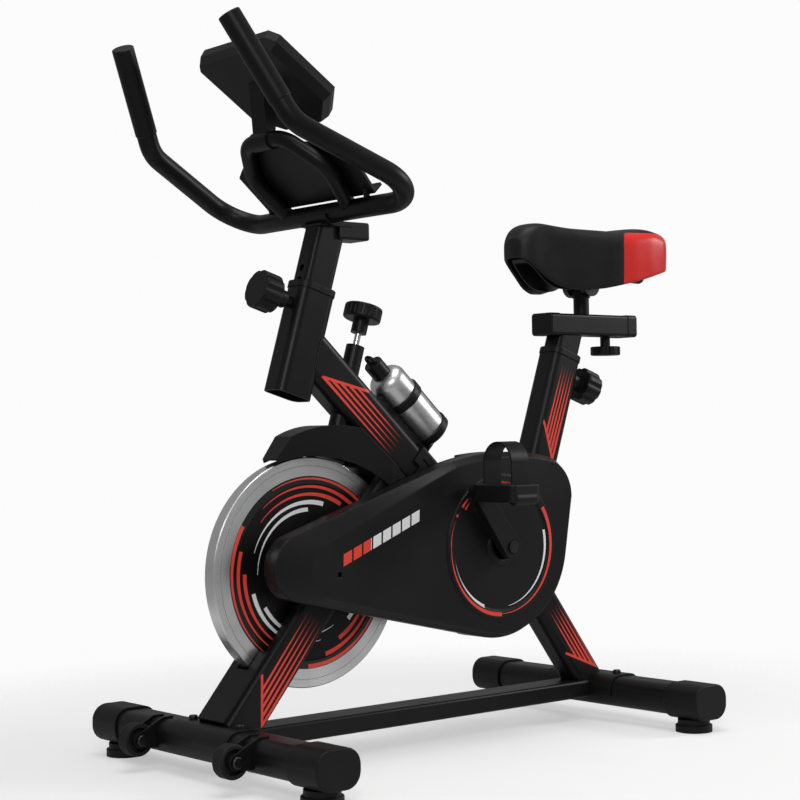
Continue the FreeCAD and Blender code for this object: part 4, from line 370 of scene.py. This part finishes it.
# ------------------------------------------------------------ screws, bearings and axles
# Steel turned or cold headed, then plated: black zinc on the screws, bright on the axles.
def turned_steel(name, shade, roughness, axis_scale=(1.0, 1.0, 1.0)):
    """Bare or plated steel with fine tool marks; axis_scale stretches the marks round a part."""
    material, tree, shader = start_material(name)
    place = put(tree, "TexCoord").outputs["Object"]
    local = put(tree, "Mapping", {"Vector": place, "Scale": axis_scale}).outputs[0]
    marks = put(tree, "TexNoise", {"Vector": local, "Scale": 420.0, "Detail": 3.0}).outputs["Fac"]
    cloud = put(tree, "TexNoise", {"Vector": place, "Scale": 26.0, "Detail": 4.0}).outputs["Fac"]
    rub = use_group(tree, edge_rub, {"Radius": 0.0008})
    dull = tuple(part * 0.72 for part in shade)
    colour = blend_colour(tree, span(tree, cloud, 0.3, 0.7), (*dull, 1), (*shade, 1))
    tree.links.new(colour, shader.inputs["Base Color"])
    low, high = roughness
    tree.links.new(span(tree, marks, 0.3, 0.7, low, high), shader.inputs["Roughness"])
    bump = put(tree, "Bump", {"Height": marks, "Normal": rub["Normal"], "Distance": 0.00004})
    tree.links.new(bump.outputs[0], shader.inputs["Normal"])
    shader.inputs["Metallic"].default_value = 1.0
    return material


black_zinc = turned_steel("black_zinc_plate", (0.055, 0.055, 0.058), (0.3, 0.45))
bright_steel = turned_steel("bright_turned_steel", (0.62, 0.62, 0.64), (0.2, 0.34), (1.0, 8.0, 1.0))
dress("frame_fasteners", black_zinc)
dress("bearings", bright_steel)
dress("crank_axle", black_zinc)
dress("flywheel_axle", bright_steel)
dress("brake_rod", bright_steel)
dress("saddle_rails", black_zinc)
dress("bar_clamp", plain_powder)
dress("console_bar", plain_powder)
dress("handlebar", plain_powder)
dress("slider_tube", plain_powder)
dress("saddle_pillar", plain_powder)


# ------------------------------------------------------------ flywheel
# Cast iron. The rim is machined and polished bright, with a step turned round the middle of its
# face; the step is darkened with painted shade. The web inside is painted black and carries a
# printed ring of curved strokes in thirds.
wheel_hub = Vector(joints["flywheel_spin"]["pos_m"])


def build_round_place():
    """How far a point is from a centre in X and Z, and its turn from forward, in degrees."""
    group, given, told = start_group("round_place", [("Centre", "v", None)],
                                     [("Radius", "f"), ("Turn", "f")])
    place = put(group, "TexCoord").outputs["Object"]
    off = put(group, "VectorMath", {0: place, 1: given["Centre"]}, operation="SUBTRACT").outputs[0]
    parts = put(group, "SeparateXYZ", {0: off}).outputs
    flat = put(group, "CombineXYZ", {"X": parts["X"], "Y": 0.0, "Z": parts["Z"]}).outputs[0]
    length = put(group, "VectorMath", {0: flat}, operation="LENGTH").outputs["Value"]
    group.links.new(length, told["Radius"])
    turn = maths(group, "ARCTAN2", parts["Z"], parts["X"])
    group.links.new(maths(group, "MULTIPLY", turn, 180.0 / pi), told["Turn"])
    return group


def build_arc_stroke():
    """A curved stroke at one radius, full at its start and fine at its far end, in degrees."""
    group, given, told = start_group(
        "arc_stroke",
        [("Radius", "f", 0.1), ("Turn", "f", 0.0), ("At", "f", 0.1), ("Start", "f", 0.0),
         ("Sweep", "f", 90.0),
         ("Half Width", "f", 0.003), ("Fine Share", "f", 0.12)], [("Mask", "f")])
    gone = maths(group, "WRAP", maths(group, "SUBTRACT", given["Turn"], given["Start"]), 360.0, 0.0)
    share = maths(group, "DIVIDE", gone, given["Sweep"])
    fine = maths(group, "MULTIPLY", given["Half Width"], given["Fine Share"])
    half = put(group, "MapRange", {0: share, 1: 0.1, 2: 1.0, 3: given["Half Width"], 4: fine}).outputs[0]
    off = maths(group, "ABSOLUTE", maths(group, "SUBTRACT", given["Radius"], given["At"]))
    on = maths(group, "MULTIPLY", maths(group, "LESS_THAN", off, half),
               maths(group, "LESS_THAN", share, 1.0))
    group.links.new(on, told["Mask"])
    return group


round_place = build_round_place()
arc_stroke = build_arc_stroke()


PRINT_WHITE = (0.86, 0.86, 0.86, 1)
# Each third of the web has three red strokes and two white ones, full at one end and tapering
# as the angle falls: radius, full end, sweep, half width.
WEB_STROKES = [(0.1465, 32, 90, 0.0032, FILM_RED), (0.1340, 17, 87, 0.0034, FILM_RED),
               (0.1220, 2, 80, 0.0034, FILM_RED), (0.1095, -14, 87, 0.0036, PRINT_WHITE),
               (0.0980, -30, 89, 0.0032, PRINT_WHITE)]
WEB_EDGE = 0.1505


def web_print(tree, colour):
    """Strokes repeated in thirds of a turn on both faces of the web."""
    polar = use_group(tree, round_place, {"Centre": wheel_hub})
    for at, start, sweep, half, ink in WEB_STROKES:
        gone = maths(tree, "SUBTRACT", float(start), polar["Turn"])
        mask = use_group(tree, arc_stroke, {
            "Radius": polar["Radius"], "Turn": maths(tree, "WRAP", gone, 120.0, 0.0), "At": at,
            "Start": 0.0, "Sweep": float(sweep), "Half Width": half})["Mask"]
        colour = blend_colour(tree, mask, colour, ink)
    return colour


WEB_PAINT = (0.0045, 0.0045, 0.0045, 1)
dress("flywheel_disc", coat("web_paint", WEB_PAINT[:3], (0.0065, 0.0065, 0.0065), (0.02, 0.02, 0.02),
                            (0.3, 0.4), 1300.0, 0.00005, shine=0.2, paint_over=web_print))


def polished_rim():
    """Machined iron, bright with rings of tool marks and painted shade in its groove; the web paint laps
    onto its inner edge.
    """
    material, tree, shader = start_material("polished_rim")
    polar = use_group(tree, round_place, {"Centre": wheel_hub})
    rings = put(tree, "CombineXYZ", {"X": polar["Radius"],
                                     "Y": maths(tree, "MULTIPLY", polar["Turn"], 0.00002),
                                     "Z": 0.0}).outputs[0]
    marks = put(tree, "TexNoise", {"Vector": rings, "Scale": 1800.0, "Detail": 3.0}).outputs["Fac"]
    place = put(tree, "TexCoord").outputs["Object"]
    cloud = put(tree, "TexNoise", {"Vector": place, "Scale": 14.0, "Detail": 4.0}).outputs["Fac"]
    rub = use_group(tree, edge_rub, {"Radius": 0.0015})
    colour = blend_colour(tree, span(tree, cloud, 0.35, 0.65), (0.66, 0.66, 0.67, 1), (0.78, 0.78, 0.79, 1))
    # Painted shade: a thin dark ring is mixed into the colour where the turned groove lies, standing in for
    # the shade inside it. The bump below also presses the same ring in.
    groove_with_painted_shade = maths(tree, "ABSOLUTE", maths(tree, "SUBTRACT", polar["Radius"], 0.1665))
    groove_with_painted_shade = maths(tree, "LESS_THAN", groove_with_painted_shade, 0.0006)
    colour = blend_colour(tree, maths(tree, "MULTIPLY", groove_with_painted_shade, 0.45), colour, (0.2, 0.2, 0.2, 1))
    painted = maths(tree, "LESS_THAN", polar["Radius"], WEB_EDGE)
    colour = blend_colour(tree, painted, colour, WEB_PAINT)
    tree.links.new(web_print(tree, colour), shader.inputs["Base Color"])
    tree.links.new(maths(tree, "SUBTRACT", 1.0, painted), shader.inputs["Metallic"])
    tree.links.new(span(tree, marks, 0.3, 0.7, 0.24, 0.36), shader.inputs["Roughness"])
    height = maths(tree, "SUBTRACT", marks, maths(tree, "MULTIPLY", groove_with_painted_shade, 4.0))
    bump = put(tree, "Bump", {"Height": height, "Normal": rub["Normal"], "Distance": 0.00003})
    tree.links.new(bump.outputs[0], shader.inputs["Normal"])
    return material


dress("flywheel_rim", polished_rim())
pulley_black = moulded_plastic("pulley_nylon")
dress("small_pulley", pulley_black)
dress("large_pulley", pulley_black)


# ------------------------------------------------------------ ribbed belt
# Black rubber belt with moulded ribs along its inside face.
def belt_rubber():
    """Matt rubber, faintly dusty."""
    return coat("belt_rubber", (0.012, 0.012, 0.012), (0.02, 0.02, 0.02), (0.05, 0.05, 0.05),
                (0.62, 0.78), 900.0, 0.00012, shine=0.3)


dress("drive_belt", belt_rubber())


# ------------------------------------------------------------ covers and guards
# Injection-moulded covers, screwed on, with a fine satin texture. The outer belt cover is printed
# round the crank with thin red and white strokes and along its flank with plain slanting bars.
crank_hub = Vector(joints["crank_spin"]["pos_m"])
# The flank bars: where the row starts, its slope in degrees, the bars' lean, size and spacing.
BARS_START, BARS_SLOPE, BARS_LEAN = (0.252, 0, 0.318), 202, 0.45
BARS_HALF_HEIGHT, BARS_ROW, BARS_PITCH, BARS_GAP, BARS_RED_UNTIL = 0.0085, 0.170, 0.0212, 0.0035, 0.0625
OUT_FACING = 0.7
# Round the crank: radius, full end, sweep, half width. Angles rise from forward, over the top.
COVER_STROKES = [(0.1120, -88, 90, 0.0032, FILM_RED), (0.1045, -67, 68, 0.0026, PRINT_WHITE),
                 (0.1110, 147, 125, 0.0032, FILM_RED), (0.1000, 167, 95, 0.0026, PRINT_WHITE),
                 (0.1125, 2, 22, 0.0008, FILM_RED), (0.1120, 28, 3, 0.0026, FILM_RED),
                 (0.1100, 38, 10, 0.0024, FILM_RED), (0.1010, 39, 8, 0.0020, FILM_RED),
                 (0.1050, 90, 17, 0.0022, FILM_RED)]


def cover_print(tree, colour):
    """Strokes round the crank, and bars along the flank of the cover."""
    polar = use_group(tree, round_place, {"Centre": crank_hub})
    for at, start, sweep, half, ink in COVER_STROKES:
        mask = use_group(tree, arc_stroke, {
            "Radius": polar["Radius"], "Turn": polar["Turn"], "At": at,
            "Start": float(start), "Sweep": float(sweep), "Half Width": half})["Mask"]
        colour = blend_colour(tree, mask, colour, ink)
    place = put(tree, "TexCoord").outputs["Object"]
    bars = put(tree, "Mapping", {"Vector": place, "Location": BARS_START,
                                 "Rotation": (0, radians(BARS_SLOPE), 0)}, vector_type="TEXTURE").outputs[0]
    parts = put(tree, "SeparateXYZ", {0: bars}).outputs
    leaned = maths(tree, "MULTIPLY_ADD", parts["Z"], BARS_LEAN, parts["X"])
    inside = maths(tree, "LESS_THAN", maths(tree, "ABSOLUTE", parts["Z"]), BARS_HALF_HEIGHT)
    inside = maths(tree, "MULTIPLY", inside, maths(tree, "GREATER_THAN", leaned, 0.0))
    inside = maths(tree, "MULTIPLY", inside, maths(tree, "LESS_THAN", leaned, BARS_ROW))
    gap = maths(tree, "GREATER_THAN", maths(tree, "WRAP", leaned, BARS_PITCH, 0.0), BARS_GAP)
    inside = maths(tree, "MULTIPLY", inside, gap)
    ink = blend_colour(tree, maths(tree, "GREATER_THAN", leaned, BARS_RED_UNTIL), FILM_RED, PRINT_WHITE)
    out_side = put(tree, "SeparateXYZ", {0: put(tree, "NewGeometry").outputs["Normal"]}).outputs["Y"]
    inside = maths(tree, "MULTIPLY", inside, maths(tree, "GREATER_THAN", out_side, OUT_FACING))
    return blend_colour(tree, inside, colour, ink)


dress("belt_cover_outer", coat("cover_plastic", (0.0048, 0.0048, 0.005), (0.0072, 0.0072, 0.0075),
                               (0.03, 0.03, 0.03), (0.32, 0.42), 1400.0, 0.00006, edge_radius=0.004,
                               shine=0.24, paint_over=cover_print))
satin_cover = moulded_plastic("satin_cover", roughness=(0.36, 0.48))
for cover in ("belt_cover_inner", "flywheel_guard", "beam_shroud", "post_bushes"):
    dress(cover, satin_cover)


# ------------------------------------------------------------ crank arms, pedals and straps
# Forged arms coated black, and moulded pedals on steel spindles. Each strap is a rubber band
# pushed through slots in its pedal.
for foot_drive in ("crank_arms", "pedal_left", "pedal_right", "pedal_strap_left", "pedal_strap_right"):
    dress(foot_drive, satin_cover)


# ------------------------------------------------------------ knobs and brake pad
# Lobed nylon heads moulded round steel pins, to pull or turn by hand. The brake pad is felt
# glued to the foot of its rod.
for hand_part in ("handlebar_pin_knob", "seat_pin_knob", "slider_knob", "resistance_knob", "brake_pad"):
    dress(hand_part, satin_cover)


# ------------------------------------------------------------ console, tray and grips
# Moulded case and tray screwed to the console bar, with a rubber button in the case. The grips
# are foam sleeves slid over the bar ends.
for cockpit_part in ("media_tray", "console_case", "console_button", "handlebar_grips", "console_screen"):
    dress(cockpit_part, satin_cover)


# ------------------------------------------------------------ bottle and cage
# Drawn aluminium bottle, brushed round its length, with a moulded screw cap. It is held in a
# plastic cage screwed to the beam.
dress("bottle_cage", satin_cover)
dress("bottle_cap", satin_cover)
dress("bottle_body", turned_steel("brushed_aluminium", (0.72, 0.72, 0.73), (0.3, 0.42)))


# ------------------------------------------------------------ saddle
# A wide padded saddle: moulded foam over the plastic pan, under black synthetic leather with a
# glossy red panel wrapped round the rear. The cover is stretched on hot and stapled underneath.
saddle_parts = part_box("saddle")
SADDLE_BACK, SADDLE_NOSE = saddle_parts[0][0] + 0.001, saddle_parts[1][0] - 0.001
SADDLE_MIDDLE_Y = (saddle_parts[0][1] + saddle_parts[1][1]) / 2
# Half width along the length, back to nose, as shares of the widest half.
SADDLE_WIDE = (saddle_parts[1][1] - saddle_parts[0][1]) / 2
SADDLE_PLAN = [(0.0, 0.0), (0.003, 0.30), (0.010, 0.58), (0.025, 0.787), (0.088, 0.963), (0.215, 1.0),
               (0.342, 0.963), (0.468, 0.852), (0.627, 0.63), (0.753, 0.463), (0.848, 0.370),
               (0.943, 0.306), (0.987, 0.204), (0.996, 0.12), (1.0, 0.0)]
# The top and bottom edges of the side view, back to nose, as heights above the floor.
SADDLE_TOP = [(0.0, 0.852), (0.057, 0.8685), (0.184, 0.8745), (0.393, 0.866), (0.659, 0.869),
              (0.839, 0.8758), (0.905, 0.873), (0.963, 0.862), (1.0, 0.842)]
SADDLE_UNDER = [(0.0, 0.7995), (0.324, 0.772), (0.527, 0.7585), (0.691, 0.7555), (0.780, 0.7625),
                (0.862, 0.782), (0.944, 0.804), (1.0, 0.8135)]
SADDLE_RINGS, SADDLE_AROUND = 44, 48
SADDLE_SQUARENESS, SHOULDER_DROP, SKIRT_SHARE = 3.0, 0.034, 0.18
END_REACH = 0.035
SKIN_THICKNESS = 0.0055
PANEL_FRONT_SHARE, PANEL_TOP, PANEL_CORNER = 0.42, 0.861, 0.025


def read_off(table, share):
    """Value at a share of the length, eased between the table's points."""
    for (first, low), (second, high) in zip(table, table[1:]):
        if share <= second:
            part = (share - first) / (second - first)
            return low + (high - low) * part
    return table[-1][1]


def smooth_table(table, share, reach=0.02):
    """The table's value with its corners eased over a short reach."""
    held = [min(1.0, max(0.0, share + reach * step / 2)) for step in (-2, -1, 0, 1, 2)]
    return sum(read_off(table, at) for at in held) / len(held)


def round_power(value, power):
    """Signed power, for a squared-off ring."""
    return (1 if value >= 0 else -1) * abs(value) ** power


def add_piece(name, tree_mesh, materials):
    """Finished bmesh to an object at the origin, shaded smooth."""
    bmesh.ops.remove_doubles(tree_mesh, verts=tree_mesh.verts, dist=0.00001)
    bmesh.ops.recalc_face_normals(tree_mesh, faces=tree_mesh.faces)
    for face in tree_mesh.faces:
        face.smooth = True
    data = bpy.data.meshes.new(name)
    tree_mesh.to_mesh(data)
    tree_mesh.free()
    made = bpy.data.objects.new(name, data)
    for material in materials:
        data.materials.append(material)
    bpy.context.scene.collection.objects.link(made)
    return made


def subdivide_on(piece, levels):
    """Live subdivision, the same on screen and in the render."""
    rounding = piece.modifiers.new("rounding", "SUBSURF")
    rounding.levels = rounding.render_levels = levels


def build_saddle_cover():
    """Crowned skin lofted ring by ring from back to nose, its sides dropping straight as skirts."""
    work = bmesh.new()
    bmesh.ops.create_grid(work, x_segments=SADDLE_RINGS, y_segments=SADDLE_AROUND, size=0.5)
    for point in work.verts:
        share, round_share = 0.5 - 0.5 * cos(pi * (point.co.x + 0.5)), point.co.y + 0.5
        near_end = min(share, 1 - share) < END_REACH
        half = SADDLE_WIDE * (read_off if near_end else smooth_table)(SADDLE_PLAN, share)
        top, under = smooth_table(SADDLE_TOP, share), smooth_table(SADDLE_UNDER, share)
        shoulder = top - min(SHOULDER_DROP, 0.6 * (top - under))
        past_skirt = min(round_share, 1 - round_share) - SKIRT_SHARE
        if past_skirt < 0:
            side = 1 if round_share < 0.5 else -1
            drop = -past_skirt / SKIRT_SHARE
            across, height = side * half * (1 - 0.02 * drop ** 2), shoulder + (under - shoulder) * drop
        else:
            angle = pi * (round_share - SKIRT_SHARE) / (1 - 2 * SKIRT_SHARE)
            across = round_power(cos(angle), 2 / SADDLE_SQUARENESS) * half
            height = shoulder + round_power(sin(angle), 2 / SADDLE_SQUARENESS) * (top - shoulder)
        point.co = (SADDLE_BACK + share * (SADDLE_NOSE - SADDLE_BACK), SADDLE_MIDDLE_Y + across, height)
    return work


def panel_distance(tree, front_x, top_height, corner):
    """How far inside the red panel a point is, in metres, from its place seen from the side."""
    place = put(tree, "SeparateXYZ", {0: put(tree, "TexCoord").outputs["Object"]}).outputs
    past_front = maths(tree, "SUBTRACT", place["X"], front_x - corner)
    past_top = maths(tree, "SUBTRACT", place["Z"], top_height - corner)
    out = put(tree, "CombineXYZ", {"X": maths(tree, "MAXIMUM", past_front, 0.0),
                                   "Y": maths(tree, "MAXIMUM", past_top, 0.0)}).outputs[0]
    reach = put(tree, "VectorMath", {0: out}, operation="LENGTH").outputs["Value"]
    return maths(tree, "SUBTRACT", corner, reach)


COVER_RED = (0.60, 0.020, 0.018, 1)


def saddle_leather():
    """Grained synthetic leather: black over the top and nose, glossy red round the rear."""
    material, tree, shader = start_material("saddle_leather")
    front_x = SADDLE_BACK + PANEL_FRONT_SHARE * (SADDLE_NOSE - SADDLE_BACK)
    inside = panel_distance(tree, front_x, PANEL_TOP, PANEL_CORNER)
    red = maths(tree, "GREATER_THAN", inside, 0.0)
    place = put(tree, "TexCoord").outputs["Object"]
    cells = put(tree, "TexVoronoi", {"Vector": place, "Scale": 520.0}).outputs["Distance"]
    cloud = put(tree, "TexNoise", {"Vector": place, "Scale": 18.0, "Detail": 4.0}).outputs["Fac"]
    black = blend_colour(tree, span(tree, cloud, 0.3, 0.7), (0.006, 0.006, 0.006, 1),
                         (0.0095, 0.0095, 0.0095, 1))
    flush = blend_colour(tree, span(tree, cloud, 0.3, 0.7), COVER_RED, (0.68, 0.03, 0.024, 1))
    colour = blend_colour(tree, red, black, flush)
    seam = maths(tree, "LESS_THAN", maths(tree, "ABSOLUTE", inside), 0.0011)
    colour = blend_colour(tree, maths(tree, "MULTIPLY", seam, 0.85), colour, (0.004, 0.004, 0.004, 1))
    tree.links.new(colour, shader.inputs["Base Color"])
    rough = maths(tree, "SUBTRACT", span(tree, cloud, 0.3, 0.7, 0.40, 0.50),
                  maths(tree, "MULTIPLY", red, 0.12))
    tree.links.new(rough, shader.inputs["Roughness"])
    height = maths(tree, "SUBTRACT", maths(tree, "MULTIPLY", cells, 0.4), maths(tree, "MULTIPLY", seam, 3.0))
    bump = put(tree, "Bump", {"Height": height, "Distance": 0.0002})
    tree.links.new(bump.outputs[0], shader.inputs["Normal"])
    shader.inputs["Specular IOR Level"].default_value = 0.25
    return material


saddle_cover = add_piece("saddle_cover", build_saddle_cover(), [saddle_leather()])
skin = saddle_cover.modifiers.new("skin", "SOLIDIFY")
skin.thickness = SKIN_THICKNESS
skin.offset = -1.0
subdivide_on(saddle_cover, 1)
dress("saddle_pan", satin_cover)
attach(saddle_cover, "saddle_group")
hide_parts("saddle")
